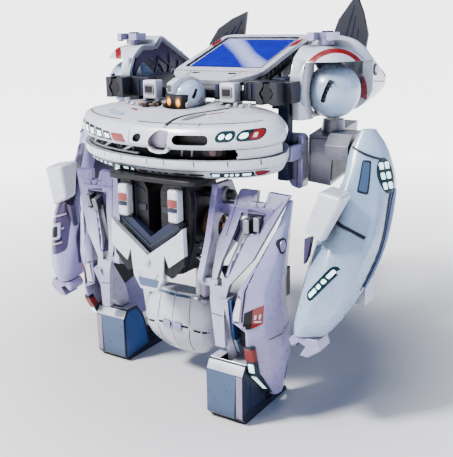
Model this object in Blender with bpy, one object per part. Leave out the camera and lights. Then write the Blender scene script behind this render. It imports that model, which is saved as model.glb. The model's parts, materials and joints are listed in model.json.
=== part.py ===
"""Solar robot kit: a two-legged snap-together robot with a solar module on its back.

Everything is drawn in millimetres, with x to the robot's left, y to its back and z up from the
ground. Left pieces are drawn; right pieces are their mirror images. An empty (a pivot) stands on
each joint's axis and carries the pieces that turn or slide with it.
"""

import math

import bmesh
import bpy
import numpy as np
from mathutils import Euler, Vector

MM = 0.001
SHIFT_BACK = -42.35         # moves the drawing so that the middle of its depth lies on y = 0
GAP = 0.3                   # clearance between pieces that meet
SIDES = ((1, "left"), (-1, "right"))

# Chest: a half-elliptic saucer, drawn level in its own frame and tipped forward.
CHEST_AT = (0.0, 14.0, 109.0)
CHEST_TIP = 9.0             # degrees, front down
SAUCER_HALF_WIDTH = 57.0
SAUCER_REACH = 25.0
SAUCER_BACK = 19.0
SAUCER_STEPS = 28
LOWER_TOP = 10.0            # top of the lower saucer
UPPER_BOTTOM = 15.0         # bottom of the upper saucer
CREASE = 24.8
DECK = 26.5
GAP_HALF_WIDTH = 41.0       # the open gap between the saucers ends here
NECK_Y = 9.7
NECK_FLOOR = 22.0           # floor of the round recess that the head stands in

# Head
HEAD_AT = (0.0, 19.5, 133.0)
HEAD_YAW = -22.0            # degrees, the head looks to the robot's right
HEAD_HALF_WIDTH = 9.0

# Solar module, drawn level and tipped about its front hinge.
MODULE_AT = (0.0, 47.4, 142.9)
MODULE_PIN = (0.0, 2.0)     # the hinge pin in the module's own drawing, as (back, up)
MODULE_TIP = 18.0
MODULE_HALF_WIDTH = 26.5
MODULE_LENGTH = 54.0
CELL_HALF_WIDTH = 22.0
CELL_FRONT = 5.0
CELL_BACK = 47.0

# Shoulders and arms
SHOULDER = (60.5, 51.0, 142.0)
BALL_RADIUS = 12.6
ELBOW_BEND = {"left": 0.0, "right": -6.0}   # degrees forward at the elbow
ELBOW = (74.0, 40.0, 118.0)
FIN_HINGE = (42.0, 103.6, 146.5)
FIN_LEAN = {"left": 12.0, "right": 34.0}

# Waist, gears and legs
CRANK = (0.0, 6.0, 84.0)
CRANK_DISC_RADIUS = 8.0
HIP = (29.0, 4.0, 99.0)
ANKLE_HEIGHT = 16.0
STRIDE = 8.0                # degrees each leg stands from upright, one forward and one back
TOOTH_MODULE = 0.5
PINION_TEETH = 8
WHEEL_TEETH = 28
SMALL_TEETH = 10
CRANK_TEETH = 32
MOTOR_BEARING = 210.0       # degrees, where the pinion lies round the double wheel

COLOURS = {
    "white": ((0.83, 0.85, 0.90), 0.32, 0.0),
    "lilac": ((0.66, 0.68, 0.84), 0.34, 0.0),
    "navy": ((0.035, 0.05, 0.10), 0.38, 0.0),
    "charcoal": ((0.03, 0.032, 0.04), 0.42, 0.0),
    "blue_grey": ((0.30, 0.40, 0.58), 0.36, 0.0),
    "silver": ((0.52, 0.53, 0.56), 0.30, 0.7),
    "bronze": ((0.26, 0.15, 0.09), 0.40, 0.6),
    "steel": ((0.60, 0.61, 0.63), 0.28, 1.0),
    "amber": ((0.95, 0.50, 0.05), 0.15, 0.0),
    "solar_blue": ((0.02, 0.04, 0.50), 0.12, 0.0),
    "red": ((0.55, 0.03, 0.04), 0.35, 0.0),
}


# ---------------------------------------------------------------- scene helpers

def clear_scene():
    for obj in list(bpy.data.objects):
        bpy.data.objects.remove(obj, do_unlink=True)


class Pivot:
    """An empty, with the point of the drawing that it stands on."""

    def __init__(self, name, at, parent=None, drawn=None, turn=(0, 0, 0)):
        self.drawn = Vector(at if drawn is None else drawn)
        self.empty = bpy.data.objects.new(name, None)
        self.empty.empty_display_size = 5 * MM
        base = parent.drawn if parent else Vector((0, 0, 0))
        self.empty.location = (Vector(at) - base) * MM
        self.empty.rotation_euler = Euler([math.radians(angle) for angle in turn])
        if parent:
            self.empty.parent = parent.empty
        bpy.context.scene.collection.objects.link(self.empty)


def finish(obj, kind):
    colour, roughness, metallic = COLOURS[kind]
    material = bpy.data.materials.new(obj.name + "_" + kind)
    material.use_nodes = True
    shader = material.node_tree.nodes["Principled BSDF"]
    shader.inputs["Base Color"].default_value = (*colour, 1.0)
    shader.inputs["Roughness"].default_value = roughness
    shader.inputs["Metallic"].default_value = metallic
    obj.data.materials.append(material)


def closed_mesh(name, shape, on, side):
    """A mesh of the drawn shape in the pivot's own frame, its faces pointing out."""
    points, faces = shape
    mesh = bpy.data.meshes.new(name)
    drawn = [(Vector((side * p[0], p[1], p[2])) - on.drawn) * MM for p in points]
    mesh.from_pydata(drawn, [], faces)
    work = bmesh.new()
    work.from_mesh(mesh)
    bmesh.ops.remove_doubles(work, verts=work.verts, dist=0.001 * MM)
    bmesh.ops.recalc_face_normals(work, faces=work.faces)
    work.to_mesh(mesh)
    work.free()
    return mesh


def solid(name, shape, kind, on, side=1, smooth=None):
    """One piece of the kit. smooth is the angle below which its faces blend."""
    mesh = closed_mesh(name, shape, on, side)
    obj = bpy.data.objects.new(name, mesh)
    bpy.context.scene.collection.objects.link(obj)
    obj.parent = on.empty
    finish(obj, kind)
    if smooth:
        mesh.shade_smooth()
        mesh.set_sharp_from_angle(angle=math.radians(smooth))
    return obj


def combine(obj, operation, shape, on, side=1):
    """Adds an EXACT Boolean of the drawn shape to the piece."""
    name = "{}_{}_{}".format(obj.name, operation.lower(), len(obj.modifiers))
    tool = bpy.data.objects.new(name, closed_mesh(name, shape, on, side))
    tool.hide_render = True
    tool.display_type = "WIRE"
    tool.parent = on.empty
    bpy.context.scene.collection.objects.link(tool)
    step = obj.modifiers.new(name, "BOOLEAN")
    step.operation = operation
    step.solver = "EXACT"
    step.object = tool


def cut(obj, shape, on, side=1):
    combine(obj, "DIFFERENCE", shape, on, side)


def join(obj, shape, on, side=1):
    combine(obj, "UNION", shape, on, side)


def bevel(obj, width, angle=40):
    step = obj.modifiers.new("edge", "BEVEL")
    step.width = width * MM
    step.segments = 1
    step.limit_method = "ANGLE"
    step.angle_limit = math.radians(angle)


# ---------------------------------------------------------------- shapes in millimetres

def loft(rings):
    """A closed solid through rings of equal length, capped at both ends."""
    count = len(rings[0])
    points = [point for ring in rings for point in ring]
    faces = [list(range(count))]
    for level in range(len(rings) - 1):
        start = level * count
        for i in range(count):
            j = (i + 1) % count
            faces.append([start + i, start + j, start + count + j, start + count + i])
    last = (len(rings) - 1) * count
    faces.append([last + i for i in range(count)])
    return points, faces


def place(axis, along, a, b):
    """A point from its distance along one axis and its other two coordinates, in order."""
    if axis == "x":
        return (along, a, b)
    if axis == "y":
        return (a, along, b)
    return (a, b, along)


def prism(outline, axis, low, high):
    return loft([[place(axis, end, a, b) for a, b in outline] for end in (low, high)])


def box(low, high):
    (x0, y0, z0), (x1, y1, z1) = low, high
    return prism([(x0, y0), (x1, y0), (x1, y1), (x0, y1)], "z", z0, z1)


def circle(radius, centre=(0, 0), steps=16, start=0.0):
    turns = [start + 2 * math.pi * i / steps for i in range(steps)]
    return [(centre[0] + radius * math.cos(t), centre[1] + radius * math.sin(t)) for t in turns]


def turned(profile, axis, centre, steps=16):
    """A round solid through (distance along the axis, radius) pairs, capped at both ends."""
    rings = []
    for along, radius in profile:
        rings.append([place(axis, along, a, b) for a, b in circle(radius, centre, steps)])
    return loft(rings)


def ring(profile, axis, centre, steps=24):
    """A round solid with a hole: the profile is a closed loop of (along, radius) pairs."""
    points, faces = turned(profile, axis, centre, steps)
    faces = faces[1:-1]
    last = (len(profile) - 1) * steps
    for i in range(steps):
        j = (i + 1) % steps
        faces.append([last + i, last + j, j, i])
    return points, faces


def ball(centre, radius, steps=20, levels=10):
    rings = []
    for level in range(1, levels):
        tilt = math.pi * level / levels
        flat = circle(radius * math.sin(tilt), centre[:2], steps)
        rings.append([(x, y, centre[2] - radius * math.cos(tilt)) for x, y in flat])
    return loft(rings)


def gear(teeth, low, high, centre, phase=0.0):
    """A spur wheel about X. phase turns it, in tooth pitches, from a tooth on +Y."""
    pitch_radius = TOOTH_MODULE * teeth / 2
    root, tip = pitch_radius - 0.55, pitch_radius + 0.35
    outline = []
    for tooth in range(teeth):
        for radius, offset in ((root, -0.30), (tip, -0.13), (tip, 0.13), (root, 0.30)):
            turn = 2 * math.pi * (tooth + offset + phase) / teeth
            outline.append((centre[0] + radius * math.cos(turn), centre[1] + radius * math.sin(turn)))
    return prism(outline, "x", low, high)


def leaned(shape, heights, shifts):
    """The shape with each point moved back by a distance that depends on its height."""
    points, faces = shape
    moved = [(x, y + float(np.interp(z, heights, shifts)), z) for x, y, z in points]
    return moved, faces


def sliced_prism(outline, low, high, levels):
    """A prism along Y of an outline in (x, z), cut into bands at the given heights."""
    work = bmesh.new()
    points, faces = prism(outline, "y", low, high)
    verts = [work.verts.new(p) for p in points]
    for face in faces:
        work.faces.new([verts[i] for i in face])
    for level in levels:
        parts = list(work.verts) + list(work.edges) + list(work.faces)
        bmesh.ops.bisect_plane(work, geom=parts, plane_co=(0, 0, level), plane_no=(0, 0, 1))
    work.verts.ensure_lookup_table()
    work.verts.index_update()
    shape = [tuple(v.co) for v in work.verts], [[v.index for v in f.verts] for f in work.faces]
    work.free()
    return shape


# ---------------------------------------------------------------- chest

def saucer_ring(inset, height, half_width=None):
    """The chest's outline at one height: a half ellipse in front and a straight back."""
    ring_points = []
    for i in range(SAUCER_STEPS + 1):
        turn = math.pi * i / SAUCER_STEPS
        x = (SAUCER_HALF_WIDTH - inset) * math.cos(turn)
        ring_points.append((x, -(SAUCER_REACH - inset) * math.sin(turn), height))
    back = SAUCER_BACK - min(inset, 2.0)
    for x_in, share in ((4.0, 0.47), (11.0, 0.76), (19.0, 0.95), (26.0, 1.0)):
        ring_points.append((-(SAUCER_HALF_WIDTH - inset - x_in), back * share, height))
    for x_in, share in ((26.0, 1.0), (19.0, 0.95), (11.0, 0.76), (4.0, 0.47)):
        ring_points.append((SAUCER_HALF_WIDTH - inset - x_in, back * share, height))
    if half_width:
        ring_points = [(max(-half_width, min(half_width, x)), y, z) for x, y, z in ring_points]
    return ring_points


def arc_y(x, inset):
    """How far forward the chest's outline reaches at x."""
    span = SAUCER_HALF_WIDTH - inset
    return -(SAUCER_REACH - inset) * math.sqrt(max(0.0, 1 - (x / span) ** 2))


def make_chest(chest):
    lower = [(9.0, 3.0), (6.0, 6.0), (3.0, LOWER_TOP), (0.0, LOWER_TOP), (0.3, 6.0), (1.4, 5.2),
             (5.5, 1.6), (9.5, 0.0)]
    solid("chest_lower_shell", loft([saucer_ring(*level) for level in lower]), "white", chest, smooth=35)
    upper = [(8.0, 20.4), (5.0, 19.0), (3.2, UPPER_BOTTOM), (0.8, UPPER_BOTTOM), (0.0, 17.0),
             (0.6, 20.5), (3.2, 23.8), (5.0, CREASE), (12.0, 25.9), (18.0, DECK)]
    shell = solid("chest_upper_shell", loft([saucer_ring(*level) for level in upper]), "white", chest,
                  smooth=35)
    cut(shell, turned([(18.0, 5.8), (24.0, 5.8)], "z", (0, NECK_Y)), chest)
    cut(shell, turned([(NECK_FLOOR, 12.2), (30.0, 12.2)], "z", (0, NECK_Y), 32), chest)
    core = [(10.0, 3.4), (7.6, 7.0), (6.2, LOWER_TOP), (6.2, 18.0)]
    drum = solid("chest_core", loft([saucer_ring(i, h, GAP_HALF_WIDTH - 7) for i, h in core]), "navy",
                 chest, smooth=35)
    cut(drum, turned([(12.0, 5.8), (20.0, 5.8)], "z", (0, NECK_Y)), chest)
    make_truss(chest)
    for side, word in SIDES:
        make_chest_end(chest, side, word)


def rim_bar(first, last, steps, insets, skew, half_height):
    """A bar round the rim of the gap between (turn, height) ends, listed ring by ring."""
    deep, shallow = insets
    rings = []
    for share in np.linspace(0, 1, steps):
        turn = first[0] + (last[0] - first[0]) * share
        height = first[1] + (last[1] - first[1]) * share
        ring_points = []
        for inset, rise in ((deep, -half_height), (shallow, -half_height), (shallow, half_height),
                            (deep, half_height)):
            step = skew if rise > 0 else -skew
            x = (SAUCER_HALF_WIDTH - inset) * math.cos(turn + step)
            y = -(SAUCER_REACH - inset) * math.sin(turn + step)
            ring_points.append((x, y, height + rise))
        rings.append(ring_points)
    return rings


def make_truss(chest):
    """A zigzag of thin bars between two thin rails, round the right part of the gap."""
    low, high = LOWER_TOP + GAP + 0.4, UPPER_BOTTOM - GAP - 0.4
    start, end = math.radians(100), math.radians(166)
    rail = (4.8, 3.6)
    truss = solid("chest_truss", loft(rim_bar((start, low), (end, low), 23, rail, 0.0, 0.4)), "white", chest)
    join(truss, loft(rim_bar((start, high), (end, high), 23, rail, 0.0, 0.4)), chest)
    feet = np.linspace(start + 0.05, end - 0.05, 8)
    for count, (near, far) in enumerate(zip(feet[:-1], feet[1:])):
        ends = (low, high) if count % 2 else (high, low)
        bar = rim_bar((near, ends[0]), (far, ends[1]), 5, (4.65, 3.75), 0.012, 0.27)
        join(truss, loft(bar), chest)


def make_chest_end(chest, side, word):
    """The block that closes the gap between the saucers at each end, set back behind the truss."""
    inner = GAP_HALF_WIDTH
    inset = 1.3 if side > 0 else 5.4
    xs = np.linspace(inner, SAUCER_HALF_WIDTH - inset - 0.1, 9)
    outline = [(float(x), arc_y(float(x), inset)) for x in xs]
    outline += [(52.0 - inset, 8.0), (45.4, 13.0), (inner, 15.0)]
    end = solid(word + "_chest_end", prism(outline, "z", LOWER_TOP + GAP, UPPER_BOTTOM - GAP), "lilac",
                chest, side)
    cut(end, prism([(inner - 1, -30), (inner + 0.6, -30), (inner + 0.6, -8), (inner - 1, -8)], "z",
                   LOWER_TOP + 1.6, UPPER_BOTTOM - 1.6), chest, side)


def make_neck_ring(chest):
    """The washer that the head turns on, its back cut straight like the deck."""
    low, high = NECK_FLOOR + GAP, NECK_FLOOR + 1.0
    profile = [(low, 6.4), (low, 11.8), (high, 11.8), (high, 6.4)]
    washer = solid("neck_ring", ring(profile, "z", (0, NECK_Y), 28), "charcoal", chest, smooth=35)
    cut(washer, box((-15, 16.7, low - 1), (15, 30, high + 1)), chest)


def make_connectors(root):
    """The dark bar behind the head, with a window box and a hex connector on each side."""
    bar = solid("connector_bar", box((-53, 29.6, 138.2), (53, 32, 142.6)), "charcoal", root)
    for side, word in SIDES:
        join(bar, box((11.4, 24.5, 138.2), (53, 32, 142.6)), root, side)
        join(bar, box((27.4, 24.5, 138.2), (53, 32, 147.6)), root, side)
        window = solid(word + "_window_box", box((18.5, 18.2, 137.8), (26.5, 24.1, 146.8)), "white", root,
                       side)
        cut(window, box((20.3, 17.0, 140.9), (24.7, 19.4, 144.1)), root, side)
        bevel(window, 0.5)
        frame = solid(word + "_hex_connector", box((38.4, 17.0, 137.8), (49.2, 24.1, 147.8)), "white",
                      root, side)
        cut(frame, prism(circle(3.6, (43.8, 142.8), 6), "y", 15.0, 21.5), root, side)
        cut(frame, prism([(41.6, 134), (46.0, 134), (45.0, 142.8), (46.0, 151), (41.6, 151),
                          (42.6, 142.8)], "y", 15.0, 21.5), root, side)


# ---------------------------------------------------------------- shoulders

def make_shoulder_mounts(root, side, word):
    """The dark column behind the chest, with the boss that the ball turns on, and the strap."""
    cx, cy, cz = SHOULDER
    column = solid(word + "_shoulder_column", box((41.0, 32.8, 101), (46.6, 37.6, 147)), "navy", root, side)
    join(column, box((36.0, 36.0, 134.0), (44.0, 56.0, 148.0)), root, side)
    join(column, turned([(43.0, 6.0), (47.4, 5.0)], "x", (cy, cz), 16), root, side)
    outline = [(39.4, 118.0), (41.0, 121.0), (43.6, 122.6), (50.2, 122.6), (51.6, 120.4), (51.6, 97.6),
               (49.4, 96.4), (45.6, 97.6), (42.0, 103.0), (40.0, 110.0)]
    strap = solid(word + "_shoulder_strap", prism(outline, "y", 38.0, 44.6), "lilac", root, side)
    join(strap, box((48.9, 27.0, 111.4), (51.6, 39.0, 118.6)), root, side)


def pod_section(x, scale, centre):
    outline = [(33, 139), (33, 149), (36.4, 157), (44, 162.6), (55.4, 162.6), (61, 167.6), (80, 157.4),
               (101, 146), (101, 138.5), (80, 133), (60, 130), (41, 130)]
    cy, cz = centre
    return [(x, cy + (y - cy) * scale, cz + (z - cz) * scale) for y, z in outline]


def make_pod(root, side, word):
    """A hollow shoulder pod, open towards the head, tapering outwards and to the back."""
    levels = [(47.0, 1.0, (60, 148)), (59.0, 1.0, (60, 148)), (66.5, 0.88, (64, 148)),
              (71.0, 0.66, (67, 148)), (73.6, 0.38, (68, 148))]
    inner = [(68.6, 0.55, (68, 148)), (64.6, 0.80, (65, 148)), (58.6, 0.93, (60, 148)),
             (47.0, 0.93, (60, 148))]
    rings = [pod_section(*level) for level in inner + levels]
    shell = solid(word + "_pod_shell", loft(rings), "white", root, side, smooth=35)
    cx, cy, cz = SHOULDER
    collar = [(47.6, 33.6), (52.2, 33.6), (53.6, 38.0), (53.6, 44.0), (49.4, 46.0), (49.4, 36.6), (47.6, 36.6)]
    join(shell, prism(collar, "z", 129.4, 156.4), root, side)
    cut(shell, ball(SHOULDER, BALL_RADIUS + 0.8, 24, 12), root, side)
    cut(shell, box((46.0, 30.0, 128.0), (76.0, 70.0, 131.2)), root, side)
    bite = [(54.4, 20), (82, 20), (82, 63), (68, 61), (60, 56), (54.4, 46)]
    cut(shell, prism(bite, "z", 126.0, 155.6), root, side)
    x, y, z = FIN_HINGE
    join(shell, box((x - 3.0, 96.6, z - 5.5), (50.0, 100.0, z + 1.6)), root, side)
    join(shell, turned([(98.0, 1.3), (y - 1.0, 1.3)], "y", (x, z), 12), root, side)
    outline = [(37, 141), (37, 149), (40, 156), (45, 159.4), (56, 159.4), (61, 163.6), (79, 154), (96, 145),
               (96, 141), (79, 136.4), (60, 133.4), (43, 133.4)]
    panel = solid(word + "_pod_panel", prism(outline, "x", 47.4, 49.0), "charcoal", root, side)
    cut(panel, turned([(46.0, BALL_RADIUS + 0.4), (50.0, BALL_RADIUS + 0.4)], "x", (cy, cz), 24), root, side)
    for y, z, tall in ((68, 150, 9), (76, 148, 7), (84, 146, 5)):
        join(panel, box((46.4, y - 0.8, z - tall), (47.8, y + 0.8, z + tall - 2)), root, side)


def make_claw(root, side, word):
    """Two short prongs on a round foot, on the inner top edge of the pod."""
    outline = [(51, 47.5), (50, 43.5), (54, 42.5), (55, 46.5), (59, 47.5), (60, 43), (63, 43.5), (63.6, 49.5),
               (61, 55.0), (53, 55.0), (50.6, 52.5)]
    claw = solid(word + "_pod_claw", prism(outline, "z", 165.0, 168.4), "lilac", root, side)
    join(claw, turned([(162.9, 4.0), (165.6, 3.6)], "z", (57, 49.6), 12), root, side)
    bevel(claw, 0.4)


def make_fin(root, side, word):
    """A dark wing fin on a pin behind the pod, free to lean inwards and outwards."""
    x, y, z = FIN_HINGE
    hinge = Pivot(word + "_fin_hinge", (side * x, y, z), root, turn=(0, FIN_LEAN[word], 0))
    outline = [(-6, 2), (-11, 14), (-9, 26), (-2, 40.5), (4, 32), (9, 22), (9.6, 12), (6, 2)]
    drawn = [(x + a, z + b) for a, b in outline]
    fin = solid(word + "_wing_fin", prism(drawn, "y", y - 1.1, y + 1.1), "charcoal", hinge, side)
    join(fin, turned([(y - 3.0, 3.4), (y + 1.1, 3.4)], "y", (x, z), 14), hinge, side)
    cut(fin, turned([(y - 4.0, 1.6), (y - 0.4, 1.6)], "y", (x, z), 12), hinge, side)


# ---------------------------------------------------------------- head

def make_head(root):
    head = Pivot("head_swivel", HEAD_AT, root, turn=(0, 0, HEAD_YAW))
    x, y, z = HEAD_AT
    width = HEAD_HALF_WIDTH
    rings = []
    for height, grow, back in ((1.9, 0.94, 7.8), (3.0, 1.0, 8.4), (7.5, 0.99, 8.2), (10.8, 0.88, 7.2),
                               (13.2, 0.66, 5.6), (14.6, 0.40, 3.4), (15.2, 0.14, 1.2)):
        points = []
        for i in range(24):
            turn = 2 * math.pi * i / 24
            reach = back if math.sin(turn) > 0 else 9.4 * grow
            points.append((x + width * grow * math.cos(turn), y + reach * math.sin(turn), z + height))
        rings.append(points)
    helmet = solid("helmet", loft(rings), "blue_grey", head, smooth=35)
    crest = [(-10.4, 8.6), (-10.4, 13.2), (-6.0, 15.8), (0.0, 16.6), (4.5, 14.8), (4.5, 9.0)]
    join(helmet, prism([(y + a, z + b) for a, b in crest], "x", x - 2.7, x + 2.7), head)
    join(helmet, turned([(z - 5.6, 4.2), (z + 2.4, 4.2)], "z", (x, y), 16), head)
    cut(helmet, box((x - 7.6, y - 12, z - 0.2), (x + 7.6, y - 4.6, z + 8.4)), head)
    cut(helmet, box((x - 1.7, y - 12, z + 9.6), (x + 1.7, y - 9.6, z + 12.4)), head)
    visor = solid("visor", box((x - 7.2, y - 8.2, z + 1.4), (x + 7.2, y - 4.9, z + 8.1)), "charcoal", head)
    for eye in (-1, 1):
        cut(visor, turned([(y - 10, 2.3), (y - 6.8, 2.3)], "y", (x + eye * 4.1, z + 4.6), 12), head)
    cut(visor, box((x - 4.1, y - 7.4, z + 4.0), (x + 4.1, y - 6.6, z + 5.2)), head)
    lens = turned([(y - 8.9, 1.2), (y - 8.5, 1.8), (y - 7.1, 2.0)], "y", (x - 4.1, z + 4.6), 12)
    eyes = solid("eye_lens", lens, "amber", head, smooth=35)
    join(eyes, turned([(y - 8.9, 1.2), (y - 8.5, 1.8), (y - 7.1, 2.0)], "y", (x + 4.1, z + 4.6), 12), head)
    join(eyes, box((x - 4.1, y - 7.25, z + 4.2), (x + 4.1, y - 6.85, z + 5.0)), head)


# ---------------------------------------------------------------- solar module

def make_module(root):
    """Case, bezel and cell, drawn level as (across, back, up) with the hinge pin at MODULE_PIN."""
    hinge = Pivot("module_hinge", MODULE_AT, root, drawn=(0, *MODULE_PIN), turn=(MODULE_TIP, 0, 0))
    half = MODULE_HALF_WIDTH
    side_outline = [(-2.0, 3.2), (10.0, -1.0), (44.0, -2.6), (MODULE_LENGTH, -0.4), (MODULE_LENGTH, 7.4),
                    (-3.0, 7.4)]
    case = solid("module_case", prism(side_outline, "x", -half, half), "charcoal", hinge)
    join(case, turned([(-9.0, 2.6), (9.0, 2.6)], "x", MODULE_PIN, 16), hinge)
    cut(case, turned([(-9.5, 1.2), (9.5, 1.2)], "x", MODULE_PIN, 12), hinge)
    cut(case, box((-6.0, -6.0, -4.0), (6.0, 6.0, 5.4)), hinge)
    for side, _ in SIDES:
        cut(case, box((9.3, -6.0, -4.0), (12.7, 6.0, 6.4)), hinge, side)
        join(case, box((half - 1, 15, 1.2), (half + 1.6, 31, 4.4)), hinge, side)
    outline = [(-26.4, 50.0), (-26.4, 1.0), (-24.5, -4.0), (-19.0, -9.5), (-12.0, -12.5), (12.0, -12.5),
               (19.0, -9.5), (24.5, -4.0), (26.4, 1.0), (26.4, 50.0), (23.0, 52.4), (-23.0, 52.4)]
    bezel = solid("module_bezel", prism(outline, "z", 7.7, 9.9), "white", hinge)
    chin = [(-14.0, 8.4), (14.0, 8.4), (9.0, 3.6), (-9.0, 3.6)]
    join(bezel, prism(chin, "y", -12.3, -10.3), hinge)
    window = CELL_HALF_WIDTH + GAP
    cut(bezel, box((-window, CELL_FRONT - GAP, 6), (window, CELL_BACK + GAP, 12)), hinge)
    for side, _ in SIDES:
        cut(bezel, box((9.0, -4.4, 6), (13.0, -2.8, 12)), hinge, side)
    solid("solar_cell", box((-CELL_HALF_WIDTH, CELL_FRONT, 7.7), (CELL_HALF_WIDTH, CELL_BACK, 9.2)),
          "solar_blue", hinge)


def make_spine(root):
    """The housing behind the chest, with the cheeks and the pin that hold the solar module."""
    _, y, z = MODULE_AT
    spine = solid("spine_housing", box((-18, 33.6, 104), (18, 52, 134)), "navy", root)
    cut(spine, box((-15.6, 36, 100), (15.6, 49.6, 131.4)), root)
    join(spine, turned([(-12.0, 0.9), (12.0, 0.9)], "x", (y, z), 10), root)
    for side, _ in SIDES:
        join(spine, box((10.0, y - 3.0, 133), (12.0, y + 2.0, z + 2.0)), root, side)
    cut(spine, box((-2.2, 50.2, 116), (2.2, 54.0, 127)), root)


def make_switch(root):
    switch = Pivot("switch_slide", (0, 52.0, 119.0), root)
    knob = solid("power_switch", box((-1.8, 50.5, 117.0), (1.8, 53.6, 121.0)), "red", switch)
    bevel(knob, 0.3)


# ---------------------------------------------------------------- arms

def make_arm(root, side, word):
    """Ball, silver block with its elbow cheek, and the forearm that hangs from it."""
    cx, cy, cz = SHOULDER
    shoulder = Pivot(word + "_shoulder", (side * cx, cy, cz), root)
    solid(word + "_shoulder_ball", ball(SHOULDER, BALL_RADIUS, 24, 14), "white", shoulder, side, smooth=40)
    front = [(52.6, 41.6, 100.0), (64.2, 41.6, 99.0), (65.4, 41.6, 122.2), (52.8, 41.6, 122.2)]
    back = [(53.4, 67.0, 104.0), (65.0, 67.0, 103.6), (66.4, 67.0, 126.8), (53.8, 67.0, 126.8)]
    block = solid(word + "_upper_arm", loft([front, back]), "silver", shoulder, side)
    join(block, turned([(121.0, 6.0), (129.0, 5.0)], "z", (60.5, 52.0), 16), shoulder, side)
    cheek = [(36, 112.4), (56, 112.4), (58, 120), (54, 124), (40, 124), (35, 119)]
    join(block, prism(cheek, "x", 64.0, 75.4), shoulder, side)
    join(block, turned([(75.0, 2.0), (79.0, 2.0)], "x", ELBOW[1:], 12), shoulder, side)
    elbow = Pivot(word + "_elbow", (side * ELBOW[0], ELBOW[1], ELBOW[2]), shoulder,
                  turn=(-ELBOW_BEND[word], 0, 0))
    make_forearm(elbow, side, word)


def flat_ring(height, corners):
    return [(x, y, height) for x, y in corners]


def make_forearm(elbow, side, word):
    """A broad shell that leans forward to the wrist, with a socket at its lower back."""
    levels = [
        (126.5, ((79.5, 38), (83, 38), (85, 41), (85, 45), (82, 46), (79.5, 44))),
        (118, ((76.2, 33.5), (83, 33), (89, 38), (91, 46), (84, 52), (76.2, 50))),
        (105, ((76.2, 27), (81, 23), (90, 34), (95, 46), (87, 56), (76.2, 52))),
        (92, ((72, 18), (82, 14), (93, 28), (96, 42), (88, 52), (73, 46))),
        (77, ((71, 9), (82, 3), (94, 14), (97, 30), (89, 40), (72, 36))),
        (62, ((70, 2), (79, -4), (92, 5), (93, 22), (85, 30), (71, 26))),
        (50, ((69.5, -4), (75, -9), (87, -2), (88, 10), (80, 18), (70, 14))),
        (44, ((70, -6), (74, -9), (83, -4), (84, 4), (78, 9), (71, 7))),
    ]
    shell = solid(word + "_forearm_shell", loft([flat_ring(*level) for level in levels]), "white",
                  elbow, side, smooth=40)
    cut(shell, turned([(70.0, 2.4), (79.6, 2.4)], "x", ELBOW[1:], 12), elbow, side)
    join(shell, box((80, 22, 51), (91.5, 33, 63)), elbow, side)
    cut(shell, box((82.2, 30, 53.2), (89.3, 36, 60.8)), elbow, side)
    top = [(75.6, 5.5, 105), (87, 4.5, 103.4), (87, 16, 103.4), (75.6, 19, 105)]
    bottom = [(71, 1.5, 88), (79.5, -0.5, 84), (80.5, 4.4, 84), (71, 9.5, 88)]
    flap = solid(word + "_elbow_flap", loft([bottom, top]), "white", elbow, side)
    bevel(flap, 1.0)
    jaw = [(70.5, 43.4), (82.5, 43.4), (84.0, 39), (78.0, 34.4), (74.0, 34.6), (76.6, 39.2),
           (73.8, 40.6), (70.0, 38.0), (68.6, 41)]
    solid(word + "_wrist_claw", prism(jaw, "y", -7.0, 3.0), "lilac", elbow, side)


# ---------------------------------------------------------------- waist and gears

def gear_layout():
    """Centres of the double wheel and of the pinion as (y, z), stacked on the crank axle."""
    _, cy, cz = CRANK
    wheel = (cy, cz + TOOTH_MODULE * (SMALL_TEETH + CRANK_TEETH) / 2)
    reach = TOOTH_MODULE * (PINION_TEETH + WHEEL_TEETH) / 2
    bearing = math.radians(MOTOR_BEARING)
    pinion = (wheel[0] + reach * math.cos(bearing), wheel[1] + reach * math.sin(bearing))
    return wheel, pinion


def crank_throw():
    """How far the crank pin stands off the axle, so that it swings a leg by the stride."""
    return (HIP[2] - CRANK[2]) * math.sin(math.radians(STRIDE))


def make_waist(root):
    wheel, pinion = gear_layout()
    for side, word in SIDES:
        outline = [(3.6, 64), (3.6, 100), (6.0, 104), (19.0, 104), (20.6, 98), (19.4, 78), (15.0, 62),
                   (6.0, 60)]
        tower = solid(word + "_waist_tower", prism(outline, "y", -9.5, 13.0), "charcoal", root, side)
        join(tower, box((6.8, 5.2, 103.0), (17.6, 12.2, 107.0)), root, side)
        cut(tower, box((5.8, -7.0, 70.0), (16.9, 14.0, 101.3)), root, side)
        cut(tower, turned([(1.0, 2.0), (24.0, 2.0)], "x", CRANK[1:], 12), root, side)
        cut(tower, turned([(1.0, 1.1), (6.4, 1.1)], "x", wheel, 10), root, side)
        join(tower, turned([(17.6, 2.4), (HIP[0] + 6.0, 2.4)], "x", HIP[1:], 14), root, side)
        if word == "left":
            cut(tower, turned([(1.0, 0.9), (6.4, 0.9)], "x", pinion, 10), root, side)
        strap = solid(word + "_waist_strap", box((11.6, -15.4, 87.4), (17.2, -9.9, 102.6)), "white", root,
                      side)
        bevel(strap, 0.8)
    make_crotch(root)
    make_belly(root)


def mirrored(half):
    """A whole outline from its right-hand half, listed from the bottom middle to the top middle."""
    return half + [(-x, z) for x, z in reversed(half) if x > 0]


def make_crotch(root):
    half = [(0, 53), (5, 54), (8.6, 60), (9.8, 72.5), (12.2, 66.5), (21, 73), (20.6, 86), (17.4, 83),
            (0, 70.6)]
    plate = solid("crotch_plate", prism(mirrored(half), "y", -16.4, -13.6), "white", root)
    join(plate, ball((0, -15.6, 67.4), 2.1, 12, 8), root)
    trough = [(0, 71.4), (17.6, 84.6), (17.6, 86.9), (10.8, 86.9), (0, 78.8)]
    solid("crotch_trough", prism(mirrored(trough), "y", -13.2, -9.9), "blue_grey", root)


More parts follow.
